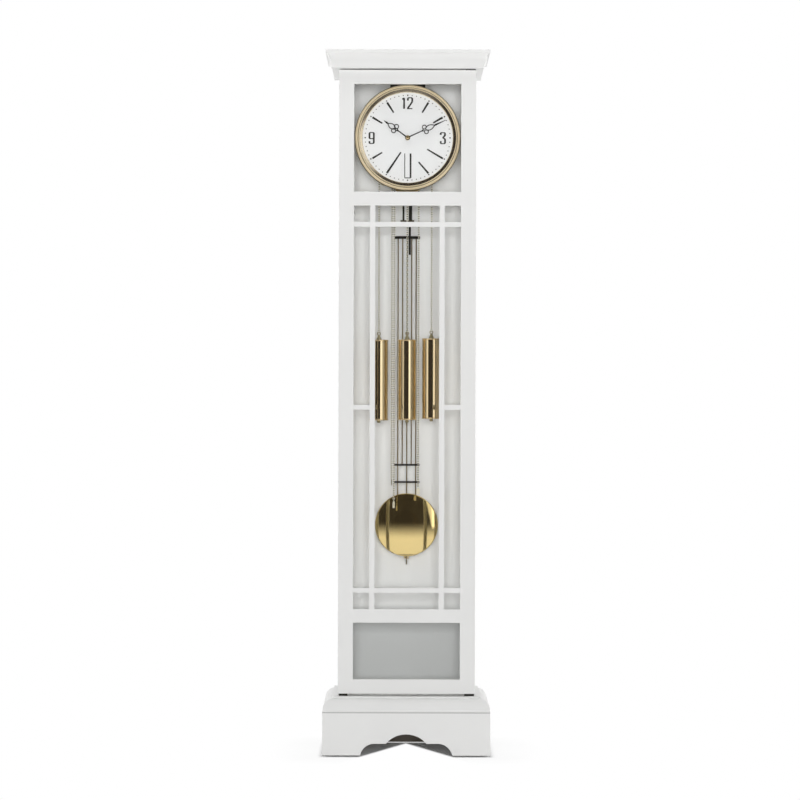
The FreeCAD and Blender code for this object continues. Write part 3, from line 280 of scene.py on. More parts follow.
def rounded(corners, radius, steps=5):
    """A polyline of (u, v) corners, each cut by a curve that starts at the radius from the corner.

    The curve is the quadratic one from the point before the corner to the point after it.
    """
    corners = np.asarray(corners, float)
    line = [corners[:1]]
    share = np.linspace(0, 1, steps)[:, None]
    for before, here, after in zip(corners[:-2], corners[1:-1], corners[2:]):
        lead = before - here
        trail = after - here
        reach_in = min(radius, np.linalg.norm(lead) / 2)
        reach_out = min(radius, np.linalg.norm(trail) / 2)
        start = here + lead / np.linalg.norm(lead) * reach_in
        end = here + trail / np.linalg.norm(trail) * reach_out
        line.append((1 - share) ** 2 * start + 2 * share * (1 - share) * here + share ** 2 * end)
    line.append(corners[-1:])
    return np.concatenate(line)


def band(path, width, low, high, loop=False):
    """A flat strip that follows a path of (u, v) points: half its width to each side, from low to high.

    The side is the path's direction turned by a quarter; points are (u, height, v).
    """
    path = np.asarray(path, float)
    if loop:
        direction = np.roll(path, -1, axis=0) - np.roll(path, 1, axis=0)
    else:
        direction = np.gradient(path, axis=0)
    direction /= np.linalg.norm(direction, axis=1, keepdims=True)
    side = np.stack([direction[:, 1], -direction[:, 0]], axis=-1)
    half = np.broadcast_to(np.asarray(width, float) / 2, len(path))[:, None]
    left = path + side * half
    right = path - side * half
    rows = []
    for edge, level in ((left, low), (right, low), (right, high), (left, high)):
        rows.append(np.stack([edge[:, 0], np.full(len(path), level), edge[:, 1]], axis=-1))
    points = np.stack(rows, axis=1)
    vertices, quads = grid(points, wrap_rows=loop, wrap_columns=True)
    if not loop:
        last = (len(path) - 1) * 4
        ends = np.array([[3, 2, 1, 0], [last, last + 1, last + 2, last + 3]])
        quads = np.concatenate([quads, ends])
    return vertices, quads


def circle(middle, radius, steps=40):
    """Points of a circle in the (u, v) plane."""
    angle = np.linspace(0, 2 * math.pi, steps, endpoint=False)
    return np.stack([middle[0] + radius * np.cos(angle), middle[1] + radius * np.sin(angle)], axis=-1)


def laid_on_dial(part, turn=0.0):
    """Points (u, height, v) of the dial's plane turned clockwise and moved to the dial's middle."""
    points, quads = part
    across = points[:, 0] * math.cos(turn) + points[:, 2] * math.sin(turn)
    up = points[:, 2] * math.cos(turn) - points[:, 0] * math.sin(turn)
    moved = np.stack([across + DIAL_MIDDLE[0], points[:, 1], up + DIAL_MIDDLE[2]], axis=-1)
    return moved, quads


def block(low, high):
    """A box from its lowest to its highest corner, as a square tube with its two ends."""
    low = np.asarray(low, float)
    high = np.asarray(high, float)
    ring = np.array([[low[0], low[1]], [high[0], low[1]], [high[0], high[1]], [low[0], high[1]]])
    rows = [np.column_stack([ring, np.full(4, level)]) for level in (low[2], high[2])]
    vertices, quads = grid(np.stack(rows), wrap_columns=True)
    return vertices, np.concatenate([quads, [[3, 2, 1, 0], [4, 5, 6, 7]]])


def hoop(middle, radius, wire, steps=32, sides=10):
    """A round wire bent to a ring that faces the front.

    Point = middle + (radius + wire cos b) * (cos a, sin a) across + wire sin b towards the back.
    """
    turn = np.linspace(0, 2 * math.pi, steps, endpoint=False)[:, None]
    section = np.linspace(0, 2 * math.pi, sides, endpoint=False)[None, :]
    reach = radius + wire * np.cos(section)
    depth = np.broadcast_to(wire * np.sin(section), (steps, sides))
    points = np.stack([reach * np.cos(turn), depth, reach * np.sin(turn)], axis=-1)
    return grid(points + np.asarray(middle), wrap_rows=True, wrap_columns=True)


# Finishes


class Value:
    """A shader socket that sums can be written with; each one adds a Math node."""

    def __init__(self, finish, socket):
        self.finish = finish
        self.socket = socket

    def math(self, operation, first, second):
        return self.finish.node("Math", {"operation": operation}, {0: first, 1: second})

    def __add__(self, other):
        return self.math("ADD", self, other)

    def __radd__(self, other):
        return self.math("ADD", other, self)

    def __sub__(self, other):
        return self.math("SUBTRACT", self, other)

    def __rsub__(self, other):
        return self.math("SUBTRACT", other, self)

    def __mul__(self, other):
        return self.math("MULTIPLY", self, other)

    def __rmul__(self, other):
        return self.math("MULTIPLY", other, self)

    def __truediv__(self, other):
        return self.math("DIVIDE", self, other)

    def __abs__(self):
        return self.finish.node("Math", {"operation": "ABSOLUTE"}, {0: self})

    def __lt__(self, other):
        return self.math("LESS_THAN", self, other)

    def __gt__(self, other):
        return self.math("GREATER_THAN", self, other)


class Finish:
    """A material and the nodes that make it."""

    def __init__(self, name, tree=None):
        if tree is None:
            self.material = bpy.data.materials.new(name)
            self.material.use_nodes = True
            tree = self.material.node_tree
        self.tree = tree
        self.tree.nodes.clear()

    def node(self, kind, settings=None, inputs=None, output=0):
        """Adds one node: its settings first, then the values or links of its sockets."""
        item = self.tree.nodes.new("ShaderNode" + kind)
        for key, value in (settings or {}).items():
            setattr(item, key, value)
        for key, value in (inputs or {}).items():
            if isinstance(value, Value):
                self.tree.links.new(value.socket, item.inputs[key])
            else:
                item.inputs[key].default_value = value
        return Value(self, item.outputs[output])

    def place(self):
        return self.node("TexCoord", output="Object")

    def along(self, axis):
        """The place along one axis, X, Y or Z."""
        return self.node("SeparateXYZ", {}, {"Vector": self.place()}, output=axis)

    def ramp(self, value, start, end, low=0.0, high=1.0):
        """Rises smoothly from low to high while the value goes from start to end, and is flat beyond."""
        return self.node("MapRange", {"interpolation_type": "SMOOTHSTEP"}, {
            "Value": value, "From Min": start, "From Max": end, "To Min": low, "To Max": high})

    def noise(self, scale, detail=3.0, stretch=(1.0, 1.0, 1.0)):
        """A noise between 0 and 1 on the piece's own coordinates."""
        mapped = self.node("Mapping", {}, {"Vector": self.place(), "Scale": stretch})
        return self.node("TexNoise", {}, {"Vector": mapped, "Scale": scale, "Detail": detail})

    def mix(self, factor, first, second):
        """Two colours mixed by a factor; a Mix node takes colours at 6 and 7 and gives one at 2."""
        return self.node("Mix", {"data_type": "RGBA"}, {0: factor, 6: first, 7: second}, output=2)

    def bump(self, height, strength, distance):
        return self.node("Bump", {}, {"Height": height, "Strength": strength, "Distance": distance})

    def seen(self):
        """1 for what is seen, straight, mirrored or through glass, and 0 for light that falls."""
        straight = self.node("LightPath", output="Is Camera Ray")
        mirrored = self.node("LightPath", output="Is Glossy Ray")
        passed = self.node("LightPath", output="Is Transmission Ray")
        total = {0: straight + mirrored, 1: passed}
        return self.node("Math", {"operation": "ADD", "use_clamp": True}, total)

    def shade(self, inputs):
        """Ends the material with one Principled shader."""
        self.end(self.node("BsdfPrincipled", {}, inputs))
        return self.material

    def end(self, shader):
        item = self.tree.nodes.new("ShaderNodeOutputMaterial")
        self.tree.links.new(shader.socket, item.inputs["Surface"])


# Darker and lighter share of a paint's colour, and the share of a chain's colour where its links touch:
# tarnish and painted shade
PAINT_TONES = (0.975, 1.02)
TARNISH_AND_SHADE = 0.06
# Places where finishes meet, in metres from the edge of the board or bolt that carries them
INNER_SKIN = 0.001
RAW_SHADE_SIDE = 0.005
RAW_SHADE_BACK = 0.004
SHADOW_LINE_DEPTH = 0.0024
RAW_SHADE_EDGE = 0.003
BOLT_FOOT = 0.0086
# Shares of the bezel's width where its groove lies and its satin ends, and in metres where its dark edge
# and its groove fade
GROOVE_SHARE = 0.415
SATIN_SHARE = 0.575
DARK_EDGE = (0.0026, 0.0012)
GROOVE_REACH = (0.0005, 0.0017)
# Colours of single spots: painted shadow under the plinth's moulding as a share of its paint, the bezel's
# satin and edge, the bolts' feet, the glides, the glass and plain white
SHADOW_LINE_SHADE = 0.6
SATIN_TONES = ((0.88, 0.74, 0.50), (0.96, 0.80, 0.55))
EDGE_TONE = (0.16, 0.125, 0.08)
BOLT_BRONZE = (0.10, 0.085, 0.05)
NYLON_GREY = (0.08, 0.08, 0.08)
GLASS_TINT = (0.997, 0.999, 0.998)
WHITE = (1.0, 1.0, 1.0, 1.0)


def opaque(colour, share=1.0):
    """A colour with its alpha, made lighter or darker by a share."""
    return tuple(min(1.0, channel * share) for channel in colour[:3]) + (1.0,)


def paint_finish(name, colour, *others):
    """Satin paint: slow mottling of the colour, fine roller texture in the gloss and the height.

    Each of the others is a colour and a mask on the piece's own coordinates, and covers where that is 1.
    """
    finish = Finish(name)
    mottle = finish.noise(7.0)
    roller = finish.noise(420.0, detail=2.0)
    tones = [opaque(colour, share) for share in PAINT_TONES]
    for other, where in others:
        mask = where(finish)
        covers = [opaque(other, share) for share in PAINT_TONES]
        tones = [finish.mix(mask, tone, cover) for tone, cover in zip(tones, covers)]
    return finish.shade({
        "Base Color": finish.mix(mottle, *tones),
        "Roughness": 0.36 + roller * 0.12,
        "Normal": finish.bump(roller, strength=0.05, distance=0.0004),
    })


def metal_finish(name, colour, rough, spread, stretch=(1.0, 1.0, 1.0), grain=90.0, metal=1.0):
    """Bare metal: the colour clouds slowly, and fine lines along the stretch change the gloss."""
    finish = Finish(name)
    cloud = finish.noise(14.0)
    lines = finish.noise(grain, detail=4.0, stretch=stretch)
    return finish.shade({
        "Base Color": finish.mix(cloud, opaque(colour, 0.94), opaque(colour, 1.05)),
        "Metallic": metal,
        "Roughness": rough + lines * spread,
    })


def chain_finish(name, colour):
    """Brassed steel: bright along the links' flanks, and dark where they touch from tarnish and painted
    shade.
    """
    finish = Finish(name)
    cloud = finish.noise(14.0)
    wear_and_contact_shade = finish.node("Attribute", {"attribute_name": "wear_and_contact_shade"}, output="Fac")
    # Painted shade with tarnish: the links go dark towards their ends, where they touch
    touch = finish.ramp(wear_and_contact_shade, 0.4, 0.85)
    bright = finish.mix(cloud, opaque(colour, 0.94), opaque(colour, 1.05))
    return finish.shade({
        "Base Color": finish.mix(touch, bright, opaque(colour, TARNISH_AND_SHADE)),
        "Metallic": 0.2,
        "Roughness": 0.34 + cloud * 0.1,
    })


def bezel_finish(name, colour, width):
    """Gilt: dark at the outer edge, satin on the ridges and polished inside, with turning lines."""
    finish = Finish(name)
    middle, half = middle_of("dial_bezel")
    outer = half[0]
    across = finish.node("Mapping", {}, {
        "Vector": finish.place(), "Location": (-middle[0], 0.0, -middle[2]), "Scale": (1.0, 0.0, 1.0)})
    radius = finish.node("VectorMath", {"operation": "LENGTH"}, {0: across}, output="Value")
    edge = finish.ramp(radius, outer - DARK_EDGE[0], outer - DARK_EDGE[1])
    groove = finish.ramp(abs(radius - (outer - GROOVE_SHARE * width)), *GROOVE_REACH, 1.0, 0.0)
    satin = radius > outer - SATIN_SHARE * width
    cloud = finish.noise(14.0)
    lines = finish.node("TexNoise", {"noise_dimensions": "1D"},
                        {"W": radius, "Scale": 2600.0, "Detail": 2.0})
    gilt = finish.mix(cloud, opaque(colour, 0.95), opaque(colour, 1.04))
    dull = finish.mix(cloud, *[opaque(tone) for tone in SATIN_TONES])
    dark = finish.node("Math", {"operation": "MAXIMUM"}, {0: edge, 1: groove * 0.75})
    return finish.shade({
        "Base Color": finish.mix(dark, finish.mix(satin, gilt, dull), opaque(EDGE_TONE)),
        "Metallic": 1.0 - satin * 0.65,
        "Roughness": 0.1 + lines * 0.08 + satin * 0.26,
    })


def dark_finish(name, colour, rough=0.42):
    """Blackened steel: worn a little lighter in slow clouds."""
    finish = Finish(name)
    wear_and_contact_shade = finish.noise(60.0)
    return finish.shade({
        "Base Color": finish.mix(wear_and_contact_shade, opaque(colour, 0.7), opaque(colour, 1.9)),
        "Metallic": 0.35,
        "Roughness": rough + wear_and_contact_shade * 0.12,
    })


def bolt_finish(name, colour, foot_colour, foot_height):
    """Blackened steel above a height and dull bronze below it."""
    finish = Finish(name)
    wear_and_contact_shade = finish.noise(60.0)
    foot = finish.along("Z") < foot_height
    shank = finish.mix(wear_and_contact_shade, opaque(colour, 0.7), opaque(colour, 1.6))
    bronze = finish.mix(wear_and_contact_shade, opaque(foot_colour, 0.8), opaque(foot_colour, 1.2))
    return finish.shade({
        "Base Color": finish.mix(foot, shank, bronze),
        "Metallic": 0.4,
        "Roughness": 0.4 + wear_and_contact_shade * 0.12,
    })


def dial_finish(name, colour):
    """Matt white card: very slow clouds and a fine tooth."""
    finish = Finish(name)
    cloud = finish.noise(9.0)
    tooth = finish.noise(900.0, detail=2.0)
    return finish.shade({
        "Base Color": finish.mix(cloud, opaque(colour, 0.985), opaque(colour, 1.01)),
        "Roughness": 0.55 + tooth * 0.15,
        "Normal": finish.bump(tooth, strength=0.04, distance=0.0002),
    })


def plastic_finish(name, colour):
    """Moulded plastic: a fine grain in the gloss."""
    finish = Finish(name)
    grain = finish.noise(300.0)
    return finish.shade({
        "Base Color": finish.mix(grain, opaque(colour, 0.9), opaque(colour, 1.15)),
        "Roughness": 0.45 + grain * 0.15,
    })


def glass_finish(name):
    """Clear glass: light passes straight through, and its gloss grows towards the edge of sight."""
    finish = Finish(name)
    smear = finish.noise(16.0)
    clear = finish.node("BsdfTransparent", {}, {"Color": opaque(GLASS_TINT)})
    gloss = finish.node("BsdfGlossy", {}, {"Color": WHITE, "Roughness": 0.02 + smear * 0.02})
    leaving = finish.node("NewGeometry", output="Backfacing")
    edge = finish.node("Fresnel", {}, {"IOR": 1.3}) * (1.0 - leaving)
    mixed = finish.node("MixShader", {}, {0: edge, 1: clear, 2: gloss})
    finish.end(mixed)
    return finish.material


# The finish of a frame node: by its own name, or else by its material slot in the record
FINISH_OF_NODE = {
    "back_panel": "panel", "plinth_boards": "raw_and_shade", "plinth_front": "joint", "seat_board": "inner",
    "case_floor": "floor", "side_left": "board", "side_right": "board", "seat_bolts": "bolt",
    "chain_tag_left": "hook", "chain_tag_centre": "tag", "chain_tag_right": "tag",
}
FINISH_OF_SLOT = {
    "white_paint": "paint", "clear_glass": "glass", "polished_brass": "weight", "gilt_bezel": "gilt",
    "movement_brass": "movement", "bright_steel": "steel", "dark_steel": "black", "bronze_rod": "rod",
    "dial_white": "dial", "hand_black": "hand", "nylon": "nylon",
}
FINISHES = {}


def board_finishes(colours):
    """Board paints, some with painted shade and light; where a board has two, they meet at a place taken
    from the frame.
    """
    rail_low, rail_high = (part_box("lower_rail")[end][2] for end in (0, 1))
    panel_back = middle_of("back_panel")[0][1]
    inner_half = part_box("side_right")[0][0] + INNER_SKIN
    plinth_half, plinth_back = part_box("plinth_boards")[1][:2]
    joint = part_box("plinth_front")[1][2] - SHADOW_LINE_DEPTH
    floor_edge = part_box("case_floor")[0][1] + RAW_SHADE_EDGE

    # Where the painted shade behind the low window lies: below the lower rail
    def shaded_below_rail(finish):
        return finish.ramp(finish.along("Z"), rail_high, rail_low)

    def behind_panel(finish):
        return finish.along("Y") > panel_back

    def between_sides(finish):
        return abs(finish.along("X")) < inner_half

    def shaded_inside_plinth(finish):
        between = abs(finish.along("X")) < plinth_half - RAW_SHADE_SIDE
        return between * (finish.along("Y") < plinth_back - RAW_SHADE_BACK)

    def at_shadow_line(finish):
        return finish.along("Z") > joint

    def shaded_front_edge(finish):
        return finish.along("Y") < floor_edge

    paint = colours.paint
    inner = colours.inner_paint_with_painted_light
    raw_and_shade = colours.raw_board_and_shade
    low = colours.shaded_low_panel
    return {
        "paint": paint_finish("satin_white_paint", paint),
        "inner": paint_finish("inner_white_paint_painted_light", inner),
        # Back panel: painted shade below the lower rail, and the outer paint on its back
        "panel": paint_finish("back_panel_paint_and_shade", inner, (low, shaded_below_rail), (paint, behind_panel)),
        # Sides: the lighter inner paint, painted light, on their inner faces
        "board": paint_finish("case_white_paint_and_painted_light", paint, (inner, between_sides)),
        # Plinth boards: dark inside, bare board and painted shade
        "raw_and_shade": paint_finish("plinth_board_paint_and_shade", paint, (raw_and_shade, shaded_inside_plinth)),
        # Painted shadow: a darker line along the plinth front's top, under the moulding
        "joint": paint_finish("plinth_front_paint_and_shadow_line", paint, (opaque(paint, SHADOW_LINE_SHADE), at_shadow_line)),
        # Case floor: the lighter inner paint, and a painted shade line along its front edge
        "floor": paint_finish("case_floor_paint_and_shade", inner, (raw_and_shade, shaded_front_edge)),
    }


def metal_finishes(colours, bezel_width):
    """Brass, gilt, bronze and steel, each with its own gloss."""
    foot_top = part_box("seat_bolts")[0][2] + BOLT_FOOT
    return {
        "bob": metal_finish("polished_brass_bob", colours.brass, rough=0.045, spread=0.03),
        "weight": metal_finish("lacquered_brass_tube", colours.tube, rough=0.06, spread=0.03,
                               stretch=(1, 1, 0.02), grain=260.0),
        "gilt": bezel_finish("pale_gilt", colours.gilt, bezel_width),
        "chain": chain_finish("brassed_chain", colours.chain),
        "tag": metal_finish("brassed_tag", colours.chain, rough=0.42, spread=0.1, metal=0.45),
        "hook": metal_finish("dull_brass_hook", colours.hook, rough=0.3, spread=0.1),
        "rod": metal_finish("bronze_rod", colours.rod, rough=0.34, spread=0.1,
                            stretch=(1, 1, 0.03), grain=240.0),
        "movement": metal_finish("machined_brass", colours.brass, rough=0.28, spread=0.12,
                                 stretch=(0.05, 1, 1), grain=220.0),
        "steel": metal_finish("turned_steel", colours.steel, rough=0.3, spread=0.1),
        "black": dark_finish("blackened_steel", colours.black),
        "hand": dark_finish("satin_black_hand", colours.black, rough=0.35),
        "bolt": bolt_finish("blackened_bolt", colours.black, BOLT_BRONZE, foot_top),
    }


def other_finishes(colours):
    """Glass, the dial and its print, and the glides."""
    return {
        "glass": glass_finish("clear_window_glass"),
        "print": plastic_finish("dial_print_ink", colours.black),
        "dial": dial_finish("matt_white_dial", colours.dial),
        "nylon": plastic_finish("nylon_glide", NYLON_GREY),
    }


class CLOCK_OT_finishes(bpy.types.Operator):
    """Makes the finishes and gives each frame node its own"""

    bl_idname = "clock.finishes"
    bl_label = "Finish the frame"

    def execute(self, context):
        colours = context.scene.clock_finishes
        FINISHES.update(board_finishes(colours))
        FINISHES.update(metal_finishes(colours, context.scene.clock_sizes.bezel_width))
        FINISHES.update(other_finishes(colours))
        for entry in frame["record"]["subparts"]:
            node = entry["node"]
            chosen = FINISH_OF_NODE.get(node) or FINISH_OF_SLOT[entry["material_slot"]]
            mesh = NODES[node].data
            mesh.materials.clear()
            mesh.materials.append(FINISHES[chosen])
        return {"FINISHED"}


# Hands: each one's turn from 12 in degrees, and its sizes in metres

HAND_SHAPES = {
    "minute_hand": {"turn": 65.4, "hub": 0.0055, "loop_at": 0.052, "loop": 0.0064, "apart": 0.0068,
                    "open_end": 0.080, "blade": 0.0046, "stem": 0.0032, "wire": 0.0023,
                    "slot": "hand_black"},
    "hour_hand": {"turn": 305.45, "hub": 0.006, "loop_at": 0.0415, "loop": 0.0068, "apart": 0.0068,
                  "open_end": 0.0655, "blade": 0.0050, "stem": 0.0036, "wire": 0.0025,
                  "slot": "hand_black"},
}
# Share of the solid hand's reach, width of the tip, and where the blade starts and is broadest
HAND_REACH = 0.985
HAND_TIP = 0.0007
BLADE_START = 0.003
BLADE_SWELL = 0.006
# Shares and powers that the hub, stem, bows, roots and blade of both hands follow
HUB_RING = 0.62
HUB_BREADTH = 0.76
STEM_START = 0.8
STEM_END = 0.9
STEM_TAPER = 0.75
BOW_REACH = 0.95
BOW_START = 0.1
BOW_POWER = 1.15
ROOT_REACH = 0.45
ROOT_POWER = 1.6
ROOT_LOW = 1.9
ROOT_RISE = 1.3
BLADE_ROOT = 1.2


def pierced_hand(node, shape):
    """Hub, tapering stem, two side loops, an open lozenge of two bowed strips and a pointed blade."""
    low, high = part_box(node)
    back = high[1]
    front = low[1]
    corner = np.abs(np.array([low, high])[:, [0, 2]] - DIAL_MIDDLE[[0, 2]]).max(axis=0)
    length = math.hypot(*corner) * HAND_REACH
    wire = shape["wire"]
    loop_at = shape["loop_at"]
    share = np.linspace(0, 1, 28)
    hub = shape["hub"]
    parts = [band(circle((0, 0), hub * HUB_RING), hub * HUB_BREADTH, back, front, loop=True)]
    rise = np.linspace(hub * STEM_START, loop_at - shape["loop"] * STEM_END, 20)
    stem = np.stack([np.zeros(20), rise], axis=-1)
    parts.append(band(stem, np.linspace(shape["stem"], shape["stem"] * STEM_TAPER, 20), back, front))
    for sign in (-1, 1):
        ring = circle((sign * shape["apart"], loop_at), shape["loop"] - wire / 2)
        parts.append(band(ring, wire, back, front, loop=True))
        arch = np.sin(math.pi * np.clip(share * (1 - BOW_START) + BOW_START, 0, 1)) ** BOW_POWER
        bow = sign * (shape["apart"] * BOW_REACH) * arch
        rise = loop_at + (shape["open_end"] - loop_at) * share
        parts.append(band(np.stack([bow, rise], axis=-1), wire, back, front))
        root = np.stack([sign * shape["apart"] * share ** ROOT_POWER * ROOT_REACH,
                         loop_at - shape["loop"] * (ROOT_LOW - ROOT_RISE * share)], axis=-1)
        parts.append(band(root, wire, back, front))
    rise = np.linspace(shape["open_end"] - BLADE_START, length, 24)
    widths = [wire * BLADE_ROOT, shape["blade"], HAND_TIP]
    swell = np.interp(rise, [rise[0], rise[0] + BLADE_SWELL, length], widths)
    parts.append(band(np.stack([np.zeros(24), rise], axis=-1), swell, back, front))
    turn = math.radians(shape["turn"])
    return [laid_on_dial(part, turn) for part in parts]


class CLOCK_OT_hands(bpy.types.Operator):
    """Makes the two pierced hands"""

    bl_idname = "clock.hands"
    bl_label = "Make the hands"

    def execute(self, context):
        bodies = {"minute_hand": "minute_train", "hour_hand": "hour_train"}
        for node, shape in HAND_SHAPES.items():
            item = piece(node + "_pierced", pierced_hand(node, shape), FINISHES["hand"])
            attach(item, bodies[node])
            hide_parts(node)
        return {"FINISHED"}


# Dial print: bars are inner and outer points and a width, in millimetres from the dial's middle

MILLIMETRE = 0.001
BARS = (
    ((-37.6, 67.2), (-55.2, 94.6), 4.4),
    ((38.8, 67.2), (55.4, 94.6), 4.4),
    ((68.3, 40.0), (93.5, 54.7), 4.4),
    ((-68.0, 38.6), (-94.4, 54.7), 4.4),
    ((-68.0, -39.5), (-94.2, -55.4), 4.0),
    ((52.5, -30.7), (94.6, -55.4), 4.0),
    ((29.6, -64.8), (56.0, -95.2), 4.0),
    ((-17.9, -38.6), (-55.5, -94.7), 4.4),
)
BAR_TAPER = (0.92, 1.3)
# The open mark at the foot of the dial: its corners and the widths of its three strokes
FOOT_MARK = ((-7.6, -42.0), (-7.6, -107.5), (8.0, -107.5), (8.0, -42.0))
FOOT_STROKES = (2.2, 2.6, 4.6)
# Radius of the dots at the hours and at the other minutes, in metres
HOUR_DOT = 0.0020
MINUTE_DOT = 0.0014
# Strokes of each figure, in shares of its height
NUMERALS = {
    "1": [[(-0.16, 0.84), (0.0, 0.99), (0.0, 0.0)]],
    "2": [[(-0.195, 0.74), (-0.195, 0.99), (0.195, 0.99), (0.195, 0.62), (-0.195, 0.06), (-0.195, 0.02),
           (0.205, 0.02)]],
    "3": [[(-0.195, 0.80), (-0.195, 0.99), (0.195, 0.99), (0.195, 0.72), (-0.02, 0.53), (0.195, 0.44),
           (0.195, 0.01), (-0.195, 0.01), (-0.195, 0.24)]],
    "9": [[(0.195, 0.44), (-0.195, 0.44), (-0.195, 0.99), (0.195, 0.99), (0.195, 0.01), (-0.195, 0.01),
           (-0.195, 0.22)]],
}
# Shares of a figure's height: its corners' radius, a stroke's width across, and what it gains upright
CORNER_SHARE = 0.13
STROKE_SHARE = 0.09
UPRIGHT_SHARE = 0.07
# Each figure's place across and up from the dial's middle, in metres
NUMERAL_PLACES = (
    ("1", -0.0097, 0.0925), ("2", 0.0062, 0.0925), ("3", 0.0944, -0.0008), ("9", -0.0964, -0.0008),
)


def printed_numeral(figure, across, up, height, back, front):
    """A condensed numeral of strokes that are broad where they run up and narrow where they run across."""
    parts = []
    for stroke in NUMERALS[figure]:
        corners = np.array(stroke) - np.array([0.0, 0.5])
        path = rounded(corners * height, height * CORNER_SHARE, 8)
        steps = [np.linspace(start, end, 5)[:-1] for start, end in zip(path[:-1], path[1:])]
        dense = np.concatenate(steps + [path[-1:]])
        keep = np.concatenate([[True], np.linalg.norm(np.diff(dense, axis=0), axis=1) > 1e-6])
        dense = dense[keep]
        direction = np.gradient(dense, axis=0)
        upright = np.abs(direction[:, 1]) / np.linalg.norm(direction, axis=1)
        width = height * (STROKE_SHARE + UPRIGHT_SHARE * upright)
        parts.append(band(dense + np.array([across, up]), width, back, front))
    return parts


class CLOCK_OT_dial_print(bpy.types.Operator):
    """Prints the numerals, bars and dots on the dial"""

    bl_idname = "clock.dial_print"
    bl_label = "Print the dial"

    def execute(self, context):
        sizes = context.scene.clock_sizes
        back = DIAL_FRONT
        front = DIAL_FRONT - sizes.print_height
        parts = []
        for figure, across, up in NUMERAL_PLACES:
            parts += printed_numeral(figure, across, up, sizes.numeral_height, back, front)
        for inner, outer, width in BARS:
            path = np.linspace(np.array(inner), np.array(outer), 8) * MILLIMETRE
            widths = np.linspace(width * BAR_TAPER[0], width * BAR_TAPER[1], 8) * MILLIMETRE
            parts.append(band(path, widths, back, front))
        foot = np.array(FOOT_MARK) * MILLIMETRE
        for start, end, width in zip(foot[:-1], foot[1:], FOOT_STROKES):
            parts.append(band(np.linspace(start, end, 6), width * MILLIMETRE, back, front))
        for minute in range(60):
            angle = math.radians(6 * minute)
            middle = (sizes.minute_ring * math.sin(angle), sizes.minute_ring * math.cos(angle))
            radius = HOUR_DOT if minute % 5 == 0 else MINUTE_DOT
            parts.append(band(circle(middle, radius / 2, 10), radius, back, front, loop=True))
        item = piece("dial_print", [laid_on_dial(part) for part in parts], FINISHES["print"])
        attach(item, "case")
        return {"FINISHED"}


# Bezel: shares of its width from outside and of its height, from the edge to the inner wall

BEZEL_SHARES = (
    (0.0, 0.0), (0.0, 0.30), (0.02, 0.42), (0.06, 0.52), (0.10, 0.56), (0.125, 0.55), (0.155, 0.66),
    (0.20, 0.74), (0.28, 0.78), (0.35, 0.75), (0.395, 0.69), (0.415, 0.66), (0.435, 0.71), (0.465, 0.83),
    (0.505, 0.93), (0.54, 0.95), (0.565, 0.93), (0.58, 0.925), (0.75, 0.858), (0.92, 0.789), (0.93, 0.785),
    (0.96, 0.70), (0.985, 0.50), (1.0, 0.20), (1.0, 0.0),
)


class CLOCK_OT_bezel(bpy.types.Operator):
    """Turns the ridged bezel"""

    bl_idname = "clock.bezel"
    bl_label = "Turn the bezel"

    def execute(self, context):
        middle, half = middle_of("dial_bezel")
        outer = half[0]
        width = context.scene.clock_sizes.bezel_width
        height = 2 * half[1]
        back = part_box("dial_bezel")[1][1]
        table = np.array(BEZEL_SHARES)
        profile = np.column_stack([outer - table[:, 0] * width, table[:, 1] * height])
        part = turned(profile, (middle[0], back, middle[2]), "front", steps=180, ring=True)
        item = piece("bezel_ridges", [part], FINISHES["gilt"], sharp=50)
        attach(item, "case")
        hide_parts("dial_bezel")
        return {"FINISHED"}


# Weights: the tube's step in from its beads, the beads, the foot below and the hook above, in metres

TUBE_STEP = 0.0016
TUBE_BEAD = 0.0018
FOOT_HEIGHT = 0.007
HOOK_HEIGHT = 0.022
HOOP_DROP = 0.0054
HOOP_RADIUS = 0.0040
HOOP_WIRE = 0.0013
# Radius and height of the corners of the foot and of the nut under the hook, and their rounding
FOOT_PROFILE = ((0, 0.0), (0.0032, 0.0), (0.0048, 0.0016), (0.0048, 0.005), (0.0036, 0.007), (0, 0.007))
NUT_PROFILE = ((0, 0.0), (0.0068, 0.0), (0.0064, 0.003), (0.0036, 0.0095), (0.0026, 0.0125), (0, 0.0125))
FOOT_ROUND = 0.0006
NUT_ROUND = 0.0008


def weight_tube(middle, radius, low, high):
    """A tube between two caps whose rims are half-round beads, turned about the upright axis."""
    shell = radius - TUBE_STEP
    bead = TUBE_BEAD
    swing = np.linspace(-math.pi / 2, math.pi / 2, 9)
    rim = np.column_stack([radius - bead + bead * np.cos(swing), bead * np.sin(swing)])
    lower = rim + np.array([0.0, bead])
    upper = rim + np.array([0.0, high - low - bead])
    wall = np.array([(shell, 2 * bead), (shell, high - low - 2 * bead)])
    profile = np.concatenate([[(0.0, 0.0)], lower, wall, upper, [(0.0, high - low)]])
    return turned(profile, (middle[0], middle[1], low), "z", steps=128)


